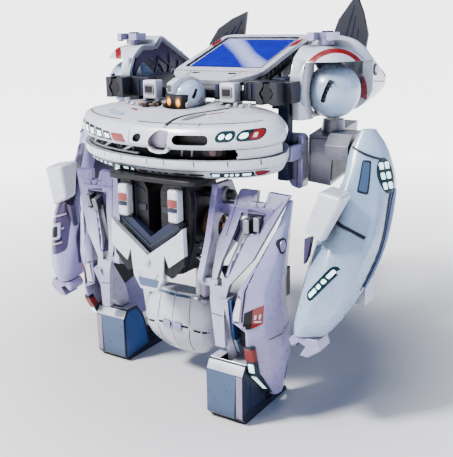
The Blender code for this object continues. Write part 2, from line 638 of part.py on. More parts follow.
def make_belly(root):
    """Two half shells under the towers, each hung on a short post."""
    for side, word in SIDES:
        rings = []
        for height, half, front, back in ((46, 16.5, 5.0, 15), (42, 19.5, 2.6, 17.5), (30, 20.6, 0.4, 18.5),
                                          (21, 18.6, 2.6, 17.5), (13, 12.5, 8.6, 15.5)):
            rings.append([(GAP / 2, front, height), (half * 0.75, front + 0.8, height),
                          (half, front + 4.6, height), (half, back - 3, height),
                          (half * 0.8, back, height), (GAP / 2, back, height)])
        shell = solid(word + "_belly_shell", loft(rings), "white", root, side, smooth=30)
        join(shell, turned([(45.0, 2.6), (59.4, 2.6)], "z", (12.0, 9.0), 12), root, side)


def make_gear_train(root):
    """Motor, pinion, double wheel and crank axle, meshing in the slot between the towers."""
    wheel, pinion = gear_layout()
    solid("motor_can", turned([(6.4, 2.0), (6.4, 4.4), (7.0, 5.0), (16.6, 5.0)], "x", pinion, 20), "steel",
          root, smooth=35)
    bearing = math.radians(MOTOR_BEARING)
    motor = Pivot("motor_shaft", (0, *pinion), root)
    pinion_phase = 0.5 + (bearing + math.pi) / (2 * math.pi) * PINION_TEETH
    small = solid("motor_pinion", gear(PINION_TEETH, 0.7, 2.5, pinion, pinion_phase), "steel", motor)
    join(small, turned([(2.0, 0.5), (6.0, 0.5)], "x", pinion, 8), motor)
    middle = Pivot("double_wheel_shaft", (0, *wheel), root)
    wheel_phase = bearing / (2 * math.pi) * WHEEL_TEETH
    double = solid("double_wheel", gear(WHEEL_TEETH, 0.7, 2.4, wheel, wheel_phase), "bronze", middle)
    join(double, gear(SMALL_TEETH, -2.5, 1.0, wheel, -SMALL_TEETH / 4), middle)
    join(double, turned([(-5.3, 0.8), (5.3, 0.8)], "x", wheel, 8), middle)
    crank = Pivot("crank_shaft", CRANK, root)
    axle = solid("crank_axle", turned([(-24.0, 1.5), (24.0, 1.5)], "x", CRANK[1:], 12), "bronze", crank)
    join(axle, gear(CRANK_TEETH, -2.5, -0.7, CRANK[1:], 0.5 + CRANK_TEETH / 4), crank)
    for side, _ in SIDES:
        join(axle, turned([(21.4, CRANK_DISC_RADIUS), (24.0, CRANK_DISC_RADIUS)], "x", CRANK[1:], 24),
             crank, side)
        pin = (CRANK[1] - side * crank_throw(), CRANK[2])
        join(axle, turned([(23.0, 1.2), (29.0, 1.2)], "x", pin, 10), crank, side)


# ---------------------------------------------------------------- legs

def make_leg(root, side, word):
    """A leg drawn as it stands forward; the right one is swung back about its hip by two strides."""
    swing = 0.0 if word == "left" else 2 * STRIDE
    hip = Pivot(word + "_hip", (side * HIP[0], HIP[1], HIP[2]), root, turn=(swing, 0, 0))
    ankle_y = HIP[1] - (HIP[2] - ANKLE_HEIGHT) * math.tan(math.radians(STRIDE))
    ankle = Pivot(word + "_ankle", (side * 43.0, ankle_y, ANKLE_HEIGHT), hip, turn=(-swing, 0, 0))
    make_leg_frame(hip, side, word, ankle_y)
    make_leg_shell(hip, side, word)
    make_foot(ankle, side, word, ankle_y)


def make_leg_frame(hip, side, word, ankle_y):
    heights = (36.0, 57.0, 78.0, 102.0)
    front = (-19.5, -17.0, -6.5, 6.0)
    outline = [(37, 101.5), (46, 101.5), (46.8, 97), (51, 97), (51.6, 101.5), (62, 101), (56, 86),
               (51.5, 74), (43, 63), (42.5, 50), (44, 36), (39, 36), (35, 56), (33, 68), (32, 80)]
    plate = leaned(sliced_prism(outline, 0.0, 2.6, heights[1:3]), heights, front)
    frame = solid(word + "_leg_frame", plate, "white", hip, side)
    window = [(40.5, 92.5), (52.5, 92.5), (50.5, 84.5), (45.5, 84.5), (41.2, 72), (39.6, 62), (36, 62),
              (36.6, 72), (39.6, 84.5)]
    cut(frame, prism(window, "y", -30, 20), hip, side)
    web = [(-2, 104.5), (10, 104.5), (15, 96), (16, 84), (13, 74), (2, 68), (-12, 60), (-16, 64),
           (-9, 80), (-5.4, 92)]
    join(frame, prism(web, "x", 27.2, 30.2), hip, side)
    swept = math.radians(STRIDE)
    reach = HIP[2] - CRANK[2]
    slot = (HIP[1] + (CRANK[1] - HIP[1]) * math.cos(swept) - reach * math.sin(swept),
            HIP[2] - reach * math.cos(swept) - (CRANK[1] - HIP[1]) * math.sin(swept))
    cut(frame, turned([(20.0, 6.3), (35.0, 6.3)], "x", slot, 18), hip, side)
    cut(frame, turned([(20.0, 2.8), (36.0, 2.8)], "x", HIP[1:], 14), hip, side)
    join(frame, box((29.0, 1.7, 90.6), (56.0, 7.1, 95.3)), hip, side)
    join(frame, box((29.0, -13.9, 61.1), (36.9, -10.3, 64.4)), hip, side)
    low = ANKLE_HEIGHT - 1
    shank = [(-18.0, 58), (-9.0, 58), (-4.0, 40), (ankle_y + 3.2, 30), (ankle_y + 3.2, low),
             (ankle_y, low - 3), (ankle_y - 3.2, low), (ankle_y - 3.2, 30), (-15.6, 40)]
    join(frame, prism(shank, "x", 39.8, 44.6), hip, side)
    cut(frame, turned([(38.0, 1.8), (46.0, 1.8)], "x", (ankle_y, ANKLE_HEIGHT), 12), hip, side)


def make_leg_shell(hip, side, word):
    """The outer armour of a leg, narrow at the hip and swept back behind the foot."""
    levels = [
        (98, ((59.2, 9.6), (60.2, 7.8), (61.4, 8.4), (61.6, 10), (60.4, 12), (59.0, 11.6), (59.0, 10.6))),
        (86, ((57.2, 2.6), (58.4, 0.0), (61.4, 1.6), (61.6, 6), (59.6, 12), (57.2, 12), (57.2, 8))),
        (74, ((53.0, -5.4), (55.0, -7.6), (60.4, -4), (61.6, 3), (58.6, 12), (52.6, 12), (52.6, 4))),
        (62, ((47.6, -13.6), (50, -15.6), (58.6, -11), (61.8, -1), (58, 11), (49.6, 14), (48.6, 2))),
        (50, ((46.2, -18.2), (51, -18.6), (59.6, -12), (62.0, -1), (57.6, 12), (49.6, 16), (48.0, 2))),
        (42, ((47.2, -18.6), (52, -18.6), (60, -12), (62.4, -1), (58, 13), (50.0, 17), (48.6, 2))),
        (39, ((53.8, -18.4), (55.4, -18.4), (60.4, -12), (62.8, -1), (58.6, 13), (50.6, 17), (53.8, 2))),
        (24, ((53.8, -14.4), (55.4, -15.0), (60.6, -9), (62.8, 0), (59, 14), (48.0, 17), (53.8, 6))),
        (7, ((53.8, 2.0), (55.0, 1.4), (57.4, 2.4), (58.4, 6), (56, 13), (48.4, 15), (53.8, 7))),
    ]
    solid(word + "_leg_shell", loft([flat_ring(*level) for level in levels]), "lilac", hip, side,
          smooth=35)


def make_foot(ankle, side, word, ankle_y):
    """A boot that is open behind, on a thin sole with a long heel."""
    outline = [(-17, 0), (-20, 3), (-20, 24), (-17, 28.6), (-9, 28.6), (-4, 22), (-1, 12), (0.4, 3.2),
               (19, 3.2), (21, 1.6), (21, 0)]
    foot = solid(word + "_foot", prism(outline, "x", 34, 53.2), "blue_grey", ankle, side)
    cut(foot, box((39.2, -16.4, 8.0), (45.2, 7.0, 32.0)), ankle, side)
    join(foot, turned([(38.6, 1.5), (45.8, 1.5)], "x", (ankle_y, ANKLE_HEIGHT), 12), ankle, side)


# ---------------------------------------------------------------- the whole kit

def main():
    clear_scene()
    root = Pivot("robot", (0, SHIFT_BACK, 0), drawn=(0, 0, 0))
    chest = Pivot("chest_tip", CHEST_AT, root, drawn=(0, 0, 0), turn=(CHEST_TIP, 0, 0))
    make_chest(chest)
    make_neck_ring(chest)
    make_head(root)
    make_connectors(root)
    make_spine(root)
    make_switch(root)
    make_module(root)
    make_waist(root)
    make_gear_train(root)
    for side, word in SIDES:
        make_shoulder_mounts(root, side, word)
        make_pod(root, side, word)
        make_claw(root, side, word)
        make_fin(root, side, word)
        make_arm(root, side, word)
        make_leg(root, side, word)


main()
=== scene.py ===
"""Looks of the solar robot kit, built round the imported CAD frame.

Shapes are drawn in millimetres in the same drawing frame as the CAD source: x to the robot's left,
y to its back, z up. A place is the matrix that carries a drawing into the row frame, in metres.
"""

import json
import math

import bmesh
import bpy
import numpy as np
from mathutils import Matrix, Vector
from mathutils.bvhtree import BVHTree

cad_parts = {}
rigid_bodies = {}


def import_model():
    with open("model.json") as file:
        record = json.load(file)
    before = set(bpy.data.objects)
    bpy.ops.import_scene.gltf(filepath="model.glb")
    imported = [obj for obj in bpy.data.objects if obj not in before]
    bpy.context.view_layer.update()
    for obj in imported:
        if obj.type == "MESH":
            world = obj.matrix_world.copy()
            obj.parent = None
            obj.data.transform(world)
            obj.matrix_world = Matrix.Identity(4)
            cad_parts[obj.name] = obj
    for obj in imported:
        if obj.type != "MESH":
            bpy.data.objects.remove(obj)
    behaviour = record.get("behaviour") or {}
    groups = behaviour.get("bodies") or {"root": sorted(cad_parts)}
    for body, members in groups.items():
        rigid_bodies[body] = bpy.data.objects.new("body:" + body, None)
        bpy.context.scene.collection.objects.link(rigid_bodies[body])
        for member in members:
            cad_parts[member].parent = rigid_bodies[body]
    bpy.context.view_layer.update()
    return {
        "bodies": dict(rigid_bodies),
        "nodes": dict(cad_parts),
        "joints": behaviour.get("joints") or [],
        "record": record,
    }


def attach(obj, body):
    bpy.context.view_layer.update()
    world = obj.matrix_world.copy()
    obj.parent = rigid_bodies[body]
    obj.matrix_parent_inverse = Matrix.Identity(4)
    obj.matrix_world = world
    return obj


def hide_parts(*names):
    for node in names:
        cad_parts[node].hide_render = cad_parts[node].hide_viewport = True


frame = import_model()

MM = 0.001
BACK = -42.35               # the drawing's shift to the row frame
SIDES = ((1, "left"), (-1, "right"))
CHEST_HALF = 57.0
CHEST_REACH = 25.0
CHEST_BACK = 19.0
NECK = (0.0, 9.7)
HEAD_AT = (0.0, 19.5, 133.0)
MODULE_AT = (0.0, 47.4, 142.9)
MODULE_TIP = 18.0
SHOULDER = (60.5, 51.0, 142.0)
ELBOW = (74.0, 40.0, 118.0)
ELBOW_TURN = {1: 0.0, -1: 6.0}
HIP = (29.0, 4.0, 99.0)
LEG_TURN = {1: 0.0, -1: 16.0}
FIN_HINGE = (42.0, 103.6, 146.5)
FIN_LEAN = {1: 12.0, -1: 34.0}


# ---------------------------------------------------------------- places

AIM = (33.1, -42.35, 84.1)
AZIMUTH, ELEVATION, DISTANCE, ROLL, LENS = 33.0, 15.8, 330.0, -0.9, 57.77
FAR_GLOW = 4.0              # how brightly the floor and horizon fade to white, away from the robot
SKY_GLOW = 0.14


def toward(azimuth, elevation):
    a, e = math.radians(azimuth), math.radians(elevation)
    return Vector((math.sin(a) * math.cos(e), -math.cos(a) * math.cos(e), math.sin(e)))


def shift(x, y, z):
    return Matrix.Translation((x, y, z))


def turn(degrees, axis):
    return Matrix.Rotation(math.radians(degrees), 4, axis)


def side_of(side):
    return Matrix.Diagonal((side, 1, 1, 1))


UNITS = Matrix.Scale(MM, 4)
ROW = UNITS @ shift(0, BACK, 0)


def about(point, rotation, side=1):
    """A rotation about a point of the drawing, then the mirror image for the right side."""
    x, y, z = point
    return ROW @ shift(side * x, y, z) @ rotation @ shift(-side * x, -y, -z) @ side_of(side)


def body_place(side=1):
    return ROW @ side_of(side)


def chest_place(side=1):
    return ROW @ shift(0, 14, 109) @ turn(9, "X") @ side_of(side)


def head_place():
    return ROW @ shift(*HEAD_AT) @ turn(-22, "Z")


def module_place(side=1):
    return ROW @ shift(*MODULE_AT) @ turn(MODULE_TIP, "X") @ shift(0, 0, -2) @ side_of(side)


def forearm_place(side):
    return about(ELBOW, turn(ELBOW_TURN[side], "X"), side)


def leg_place(side):
    return about(HIP, turn(LEG_TURN[side], "X"), side)


def foot_place(side):
    ankle = (43.0, 4 - 83 * math.tan(math.radians(8)), 16.0)
    moved = leg_place(side) @ Vector(ankle)
    still = body_place(side) @ Vector(ankle)
    return Matrix.Translation(moved - still) @ body_place(side)


def fin_place(side):
    return about(FIN_HINGE, turn(FIN_LEAN[side], "Y"), side)


# ---------------------------------------------------------------- shapes in millimetres

def loft(rings, closed=False):
    """A solid through rings of equal length, capped at both ends or closed on itself."""
    count = len(rings[0])
    points = [tuple(point) for ring in rings for point in ring]
    faces = [] if closed else [list(range(count))]
    levels = len(rings) if closed else len(rings) - 1
    for level in range(levels):
        here, there = level * count, (level + 1) % len(rings) * count
        for i in range(count):
            j = (i + 1) % count
            faces.append([here + i, here + j, there + j, there + i])
    if not closed:
        last = (len(rings) - 1) * count
        faces.append([last + i for i in range(count)])
    return points, faces


def along(axis, distance, a, b):
    if axis == "x":
        return (distance, a, b)
    if axis == "y":
        return (a, distance, b)
    return (a, b, distance)


def prism(outline, axis, low, high):
    return loft([[along(axis, end, a, b) for a, b in outline] for end in (low, high)])


def box(low, high):
    (x0, y0, z0), (x1, y1, z1) = low, high
    return prism([(x0, y0), (x1, y0), (x1, y1), (x0, y1)], "z", z0, z1)


def circle(radius, centre=(0, 0), steps=48, squash=1.0):
    turns = [2 * math.pi * i / steps for i in range(steps)]
    return [(centre[0] + radius * math.cos(t), centre[1] + squash * radius * math.sin(t)) for t in turns]


def turned(profile, axis, centre, steps=48):
    rings = [[along(axis, d, a, b) for a, b in circle(r, centre, steps)] for d, r in profile]
    return loft(rings)


def hoop(profile, axis, centre, steps=64):
    rings = [[along(axis, d, a, b) for a, b in circle(r, centre, steps)] for d, r in profile]
    return loft(rings, closed=True)


def ball(centre, radius, steps=64, levels=32):
    rings = []
    for level in range(levels + 1):
        tilt = 0.02 + (math.pi - 0.04) * level / levels
        flat = circle(radius * math.sin(tilt), centre[:2], steps)
        rings.append([(x, y, centre[2] - radius * math.cos(tilt)) for x, y in flat])
    return loft(rings)


def rounded(outline, radius, steps=4):
    """The outline with each corner replaced by a short curve that starts radius away from it."""
    out = []
    count = len(outline)
    for i, corner in enumerate(outline):
        here = np.array(corner, float)
        before = np.array(outline[i - 1], float) - here
        after = np.array(outline[(i + 1) % count], float) - here
        size_a, size_b = np.linalg.norm(before), np.linalg.norm(after)
        start = here + before / size_a * min(radius, size_a * 0.45)
        end = here + after / size_b * min(radius, size_b * 0.45)
        for share in np.linspace(0, 1, steps):
            mix = (1 - share) ** 2 * start + 2 * share * (1 - share) * here + share ** 2 * end
            out.append(tuple(mix))
    return out


def smooth_rows(rows, per_gap):
    """Rows of numbers with per_gap steps between each pair, on a smooth curve through all of them."""
    rows = np.array(rows, float)
    ends = np.vstack([2 * rows[0] - rows[1], rows, 2 * rows[-1] - rows[-2]])
    out = []
    for i in range(1, len(ends) - 2):
        a, b, c, d = ends[i - 1:i + 3]
        for t in np.linspace(0, 1, per_gap, endpoint=False):
            out.append(0.5 * (2 * b + (c - a) * t + (2 * a - 5 * b + 4 * c - d) * t ** 2
                              + (3 * b - a - 3 * c + d) * t ** 3))
    out.append(rows[-1])
    return np.array(out)


def lofted(levels, radius, per_gap=4, steps=4):
    """A smooth shell through (height, corners) levels, with rounded corners."""
    rings = [[(x, y, z) for x, y in rounded(corners, radius, steps)] for z, corners in levels]
    flat = smooth_rows([np.array(ring).ravel() for ring in rings], per_gap)
    return loft([ring.reshape(-1, 3) for ring in flat])


def capsule(x0, x1, z0, z1, slant=0.0, steps=6):
    """A slot with round ends, leaning by slant at its top."""
    half = (z1 - z0) / 2
    middle = (z0 + z1) / 2
    out = []
    for centre, first in ((x1 - half, -math.pi / 2), (x0 + half, math.pi / 2)):
        for i in range(steps + 1):
            t = first + math.pi * i / steps
            z = half * math.sin(t)
            out.append((centre + half * math.cos(t) + slant * z / half / 2, middle + z))
    return out


def slab(x0, x1, z0, z1, slant=0.0):
    return [(x0 - slant / 2, z0), (x1 - slant / 2, z0), (x1 + slant / 2, z1), (x0 + slant / 2, z1)]


def stroke(points, width):
    """The outline of a line of the given width through (a, b) points."""
    points = [np.array(p, float) for p in points]
    left, right = [], []
    for i, here in enumerate(points):
        before, after = points[max(i - 1, 0)], points[min(i + 1, len(points) - 1)]
        step = after - before
        normal = np.array([-step[1], step[0]]) / max(np.linalg.norm(step), 1e-9)
        left.append(tuple(here + normal * width / 2))
        right.append(tuple(here - normal * width / 2))
    return left + right[::-1]


# ---------------------------------------------------------------- materials

def node(tree, kind, **values):
    made = tree.nodes.new("ShaderNode" + kind)
    for name, value in values.items():
        if hasattr(made, name):
            setattr(made, name, value)
        else:
            made.inputs[name.replace("_", " ")].default_value = value
    return made


def noise(tree, coords, scale, detail=3.0, stretch=None):
    source = coords
    if stretch:
        mapping = node(tree, "Mapping")
        mapping.inputs["Scale"].default_value = stretch
        tree.links.new(coords, mapping.inputs["Vector"])
        source = mapping.outputs["Vector"]
    made = node(tree, "TexNoise")
    made.inputs["Scale"].default_value = scale
    made.inputs["Detail"].default_value = detail
    tree.links.new(source, made.inputs["Vector"])
    return made.outputs["Fac"]


def spread(tree, value, low, high, start=0.3, end=0.7):
    made = node(tree, "MapRange")
    for name, number in (("From Min", start), ("From Max", end), ("To Min", low), ("To Max", high)):
        made.inputs[name].default_value = number
    tree.links.new(value, made.inputs["Value"])
    return made.outputs["Result"]


def blended(tree, factor, first, second):
    """A colour between two, each a colour or a socket."""
    made = tree.nodes.new("ShaderNodeMix")
    made.data_type = "RGBA"
    tree.links.new(factor, made.inputs[0])
    for index, colour in ((6, first), (7, second)):
        if isinstance(colour, tuple):
            made.inputs[index].default_value = (*colour, 1.0)
        else:
            tree.links.new(colour, made.inputs[index])
    return made.outputs[2]


def shade(colour, share):
    return tuple(min(1.0, c * share) for c in colour)


def moulded(name, colour, rough=0.32, metal=0.0, coat=0.3, speck=0.06, grain=0.10, crease_shade=0.85,
            brushed=False, shine=0.5):
    """Moulded plastic or metal: cloudy colour, painted shade in the creases, uneven gloss and a fine skin."""
    material = bpy.data.materials.new(name)
    material.use_nodes = True
    tree = material.node_tree
    shader = tree.nodes["Principled BSDF"]
    coords = node(tree, "TexCoord").outputs["Object"]
    cloud = spread(tree, noise(tree, coords, 110), 0.0, 1.0)
    base = blended(tree, cloud, shade(colour, 1 - speck), shade(colour, 1 + speck))
    # painted shade: ambient occlusion darkens the base colour in creases and hollows
    crease = node(tree, "AmbientOcclusion", samples=4)
    crease.inputs["Distance"].default_value = 0.008
    depth = spread(tree, crease.outputs["AO"], crease_shade, 0.0, 0.35, 1.0)
    base = blended(tree, depth, base, shade(colour, 0.10))
    tree.links.new(base, shader.inputs["Base Color"])
    stretch = (1.0, 1.0, 14.0) if brushed else None
    gloss = spread(tree, noise(tree, coords, 420, 4.0, stretch), rough - 0.06, rough + 0.08)
    tree.links.new(gloss, shader.inputs["Roughness"])
    bump = node(tree, "Bump")
    bump.inputs["Strength"].default_value = grain
    bump.inputs["Distance"].default_value = 0.0001
    tree.links.new(noise(tree, coords, 2600, 2.0, stretch), bump.inputs["Height"])
    tree.links.new(bump.outputs["Normal"], shader.inputs["Normal"])
    shader.inputs["Metallic"].default_value = metal
    shader.inputs["Specular IOR Level"].default_value = shine
    shader.inputs["Coat Weight"].default_value = coat
    shader.inputs["Coat Roughness"].default_value = 0.12
    return material


# Painted glow: emission on light marks and lenses that hold no lamps
def with_painted_glow(name, colour, strength, rough=0.15):
    material = moulded(name, colour, rough, 0.0, 0.6, 0.03, 0.02, 0.1)
    shader = material.node_tree.nodes["Principled BSDF"]
    shader.inputs["Emission Color"].default_value = (*colour, 1.0)
    shader.inputs["Emission Strength"].default_value = strength
    return material


def solar_glass(name):
    """Deep blue cell: fine fingers and bus lines under glass, with a pale slanting streak that is a painted reflection.
    """
    material = moulded(name, (0.001, 0.003, 0.26), 0.30, 0.0, 0.10, 0.10, 0.02, 0.2, shine=0.2)
    tree = material.node_tree
    shader = tree.nodes["Principled BSDF"]
    base = shader.inputs["Base Color"].links[0].from_socket
    coords = node(tree, "TexCoord").outputs["Object"]
    mapping = node(tree, "Mapping")
    level = turn(-MODULE_TIP, "X")
    mapping.inputs["Rotation"].default_value = (math.radians(-MODULE_TIP), 0, 0)
    mapping.inputs["Location"].default_value = -(level @ (ROW @ Vector(MODULE_AT)))
    tree.links.new(coords, mapping.inputs["Vector"])
    lines = None
    for direction, pitch, width in (("X", 0.0110, 0.035), ("Y", 0.0105, 0.03), ("X", 0.0014, 0.16)):
        split = node(tree, "SeparateXYZ")
        tree.links.new(mapping.outputs["Vector"], split.inputs["Vector"])
        scaled = node(tree, "Math", operation="DIVIDE")
        tree.links.new(split.outputs[direction], scaled.inputs[0])
        scaled.inputs[1].default_value = pitch
        saw = node(tree, "Math", operation="FRACT")
        tree.links.new(scaled.outputs[0], saw.inputs[0])
        mask = spread(tree, saw.outputs[0], 0.55 if pitch > 0.005 else 0.10, 0.0, width * 0.6, width)
        lines = mask if lines is None else highest(tree, lines, mask)
    base = blended(tree, lines, base, (0.02, 0.05, 0.45))
    # painted reflection: a pale diagonal band of wave texture mixed into the base colour
    wave = node(tree, "TexWave", wave_type="BANDS", bands_direction="DIAGONAL")
    wave.inputs["Scale"].default_value = 7.0
    wave.inputs["Distortion"].default_value = 2.2
    wave.inputs["Detail"].default_value = 2.0
    wave.inputs["Phase Offset"].default_value = 1.2
    tree.links.new(mapping.outputs["Vector"], wave.inputs["Vector"])
    painted_reflection = spread(tree, wave.outputs["Fac"], 0.0, 0.5, 0.90, 1.0)
    base = blended(tree, painted_reflection, base, (0.62, 0.72, 1.0))
    tree.links.new(base, shader.inputs["Base Color"])
    return material


def graded_by_height(name, colour, other, low, high):
    """Moulded plastic that turns from one colour to another with height, given in millimetres; on the leg frame the
    darker top is painted shadow.
    """
    material = moulded(name, colour, 0.30)
    tree = material.node_tree
    shader = tree.nodes["Principled BSDF"]
    base = shader.inputs["Base Color"].links[0].from_socket
    split = node(tree, "SeparateXYZ")
    tree.links.new(node(tree, "TexCoord").outputs["Object"], split.inputs["Vector"])
    share = spread(tree, split.outputs["Z"], 0.0, 0.85, low * MM, high * MM)
    tree.links.new(blended(tree, share, base, other), shader.inputs["Base Color"])
    return material


def ringed(name, colour, band):
    """Moulded plastic with a painted band that curves around the shoulder ball, mirrored on both pods."""
    material = moulded(name, colour, 0.30)
    tree = material.node_tree
    shader = tree.nodes["Principled BSDF"]
    base = shader.inputs["Base Color"].links[0].from_socket
    mirrored = node(tree, "VectorMath", operation="ABSOLUTE")
    tree.links.new(node(tree, "TexCoord").outputs["Object"], mirrored.inputs[0])
    split = node(tree, "SeparateXYZ")
    tree.links.new(mirrored.outputs[0], split.inputs["Vector"])
    plain = node(tree, "SeparateXYZ")
    tree.links.new(node(tree, "TexCoord").outputs["Object"], plain.inputs["Vector"])
    joined = node(tree, "CombineXYZ")
    tree.links.new(split.outputs["X"], joined.inputs["X"])
    tree.links.new(plain.outputs["Y"], joined.inputs["Y"])
    tree.links.new(plain.outputs["Z"], joined.inputs["Z"])
    offset = node(tree, "VectorMath", operation="SUBTRACT")
    tree.links.new(joined.outputs[0], offset.inputs[0])
    offset.inputs[1].default_value = ROW @ Vector(SHOULDER)
    across = node(tree, "VectorMath", operation="CROSS_PRODUCT")
    tree.links.new(offset.outputs[0], across.inputs[0])
    across.inputs[1].default_value = toward(AZIMUTH, ELEVATION)
    reach = node(tree, "VectorMath", operation="LENGTH")
    tree.links.new(across.outputs[0], reach.inputs[0])
    upper = node(tree, "VectorMath", operation="DOT_PRODUCT")
    tree.links.new(offset.outputs[0], upper.inputs[0])
    upper.inputs[1].default_value = (0.45, 0.2, 0.87)
    inner = spread(tree, reach.outputs["Value"], 0.0, 1.0, 14.2 * MM, 14.4 * MM)
    outer = spread(tree, reach.outputs["Value"], 1.0, 0.0, 16.9 * MM, 17.1 * MM)
    above = spread(tree, upper.outputs["Value"], 0.0, 1.0, 2.8 * MM, 3.0 * MM)
    mask = lowest(tree, lowest(tree, inner, outer), above)
    tree.links.new(blended(tree, mask, base, band), shader.inputs["Base Color"])
    return material


def lowest(tree, first, second):
    made = node(tree, "Math", operation="MINIMUM")
    tree.links.new(first, made.inputs[0])
    tree.links.new(second, made.inputs[1])
    return made.outputs[0]


def highest(tree, first, second):
    made = node(tree, "Math", operation="MAXIMUM")
    tree.links.new(first, made.inputs[0])
    tree.links.new(second, made.inputs[1])
    return made.outputs[0]


PAINT = {
    "white": moulded("white_plastic", (0.49, 0.51, 0.60), 0.30),
    "pearl": moulded("pearl_plastic", (0.29, 0.39, 0.54), 0.28),
    "lilac": moulded("lilac_plastic", (0.26, 0.25, 0.45), 0.30),
    "mauve": moulded("mauve_plastic", (0.26, 0.21, 0.32), 0.34),
    "blue": moulded("pale_blue_plastic", (0.045, 0.085, 0.165), 0.32, coat=0.1),
    "deep_blue": moulded("deep_blue_plastic", (0.02, 0.06, 0.20), 0.34, coat=0.1, shine=0.2),
    "navy": moulded("navy_plastic", (0.010, 0.015, 0.042), 0.40, coat=0.05, shine=0.2),
    "black": moulded("black_plastic", (0.005, 0.005, 0.008), 0.45, coat=0.05, shine=0.2),
    "charcoal": moulded("charcoal_plastic", (0.016, 0.017, 0.026), 0.42, coat=0.05, shine=0.2),
    "purple": moulded("purple_plastic", (0.035, 0.026, 0.075), 0.42, coat=0.05, shine=0.2),
    "teal": moulded("teal_black_plastic", (0.003, 0.018, 0.026), 0.28, coat=0.2, shine=0.2),
    "grey": moulded("grey_plastic", (0.14, 0.14, 0.17), 0.42, coat=0.1),
    "red": moulded("red_paint", (0.17, 0.003, 0.005), 0.34, coat=0.05),
    "dark_red": moulded("dark_red_paint", (0.12, 0.004, 0.008), 0.36, coat=0.1),
    "silver": moulded("brushed_silver", (0.17, 0.17, 0.21), 0.32, 0.75, 0.1, 0.05, 0.25, brushed=True),
    "steel": moulded("turned_steel", (0.50, 0.50, 0.53), 0.24, 1.0, 0.0, 0.04, 0.2, brushed=True),
    "bronze": moulded("bronze_gear", (0.20, 0.095, 0.05), 0.38, 0.65, 0.05, 0.12, 0.2),
    "ink": moulded("panel_line", (0.012, 0.014, 0.025), 0.5, 0.0, 0.0, shine=0.2),
    # painted glow: the white window lights shine by emission, though they hold no lamps
    "lamp": with_painted_glow("white_light_painted_glow", (0.70, 0.95, 1.0), 1.6),
    # painted glow: the amber eye lenses shine by emission, though they hold no lamps
    "amber": with_painted_glow("amber_lens_glass", (0.95, 0.36, 0.01), 1.0),
    "solar": solar_glass("solar_cell_glass"),
    "pod": ringed("pod_plastic", (0.46, 0.51, 0.62), (0.17, 0.003, 0.005)),
    # painted shadow: the leg frame darkens towards its top, where the chest's shadow falls
    "frame": graded_by_height("leg_frame_plastic", (0.34, 0.34, 0.48), (0.06, 0.045, 0.17), 68.0, 92.0),
    "skirt": graded_by_height("leg_shell_plastic", (0.29, 0.26, 0.46), (0.24, 0.28, 0.50), 60.0, 90.0),
}


# ---------------------------------------------------------------- pieces

def mesh_of(name, shapes, place):
    """One mesh of all the shapes, carried into the row frame, each closed part facing out."""
    mesh = bpy.data.meshes.new(name)
    points, faces = [], []
    for shape_points, shape_faces in shapes:
        start = len(points)
        points += [tuple(place @ Vector(p)) for p in shape_points]
        faces += [[start + i for i in face] for face in shape_faces]
    mesh.from_pydata(points, [], faces)
    work = bmesh.new()
    work.from_mesh(mesh)
    bmesh.ops.recalc_face_normals(work, faces=work.faces)
    work.to_mesh(mesh)
    work.free()
    return mesh


def soften(mesh, angle):
    mesh.shade_smooth()
    mesh.set_sharp_from_angle(angle=math.radians(angle))


def piece(name, shapes, place, body, paint, replaces=(), bevel=0.0, angle=35, segments=2):
    """A shown piece that rides on a body; bevel is its edge radius in millimetres."""
    mesh = mesh_of(name, shapes if isinstance(shapes, list) else [shapes], place)
    mesh.materials.append(PAINT[paint])
    soften(mesh, angle)
    obj = bpy.data.objects.new(name, mesh)
    bpy.context.scene.collection.objects.link(obj)
    if bevel:
        add_bevel(obj, bevel, segments)
    if replaces:
        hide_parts(*([replaces] if isinstance(replaces, str) else replaces))
    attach(obj, body)
    return obj


def add_bevel(obj, width, segments=2, limit=32):
    step = obj.modifiers.new("edge", "BEVEL")
    step.width = width * MM
    step.segments = segments
    step.limit_method = "ANGLE"
    step.angle_limit = math.radians(limit)
    step.harden_normals = True


def recast(cad, body, paint, bevel=0.35, segments=2, angle=30):
    """A clean copy of a CAD node with softened edges, which stands for it."""
    mesh = frame["nodes"][cad].data.copy()
    mesh.name = cad + "_moulding"
    work = bmesh.new()
    work.from_mesh(mesh)
    bmesh.ops.remove_doubles(work, verts=work.verts, dist=1e-7)
    bmesh.ops.dissolve_limit(work, angle_limit=math.radians(1.5), verts=work.verts, edges=work.edges)
    bmesh.ops.recalc_face_normals(work, faces=work.faces)
    work.to_mesh(mesh)
    work.free()
    if mesh.attributes.get("custom_normal"):
        mesh.attributes.remove(mesh.attributes["custom_normal"])
    mesh.materials.clear()
    mesh.materials.append(PAINT[paint])
    soften(mesh, angle)
    obj = bpy.data.objects.new(cad + "_moulding", mesh)
    bpy.context.scene.collection.objects.link(obj)
    if bevel:
        add_bevel(obj, bevel, segments)
    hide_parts(cad)
    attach(obj, body)
    return obj


def carve(obj, shapes, place, paint=None, angle=35):
    """Cuts the shapes out of a piece; the cut faces take the given paint."""
    tool = bpy.data.objects.new("cutter", mesh_of("cutter", shapes, place))
    bpy.context.scene.collection.objects.link(tool)
    tool.data.materials.append(PAINT[paint] if paint else obj.data.materials[0])
    kept = [m for m in obj.modifiers]
    if kept:
        raise ValueError("carve a piece before it gets its other modifiers")
    step = obj.modifiers.new("carve", "BOOLEAN")
    step.operation = "DIFFERENCE"
    step.solver = "EXACT"
    step.material_mode = "TRANSFER"
    step.object = tool
    bpy.context.view_layer.update()
    graph = bpy.context.evaluated_depsgraph_get()
    made = bpy.data.meshes.new_from_object(obj.evaluated_get(graph), depsgraph=graph)
    obj.modifiers.clear()
    obj.data = made
    soften(made, angle)
    bpy.data.objects.remove(tool, do_unlink=True)
    return obj


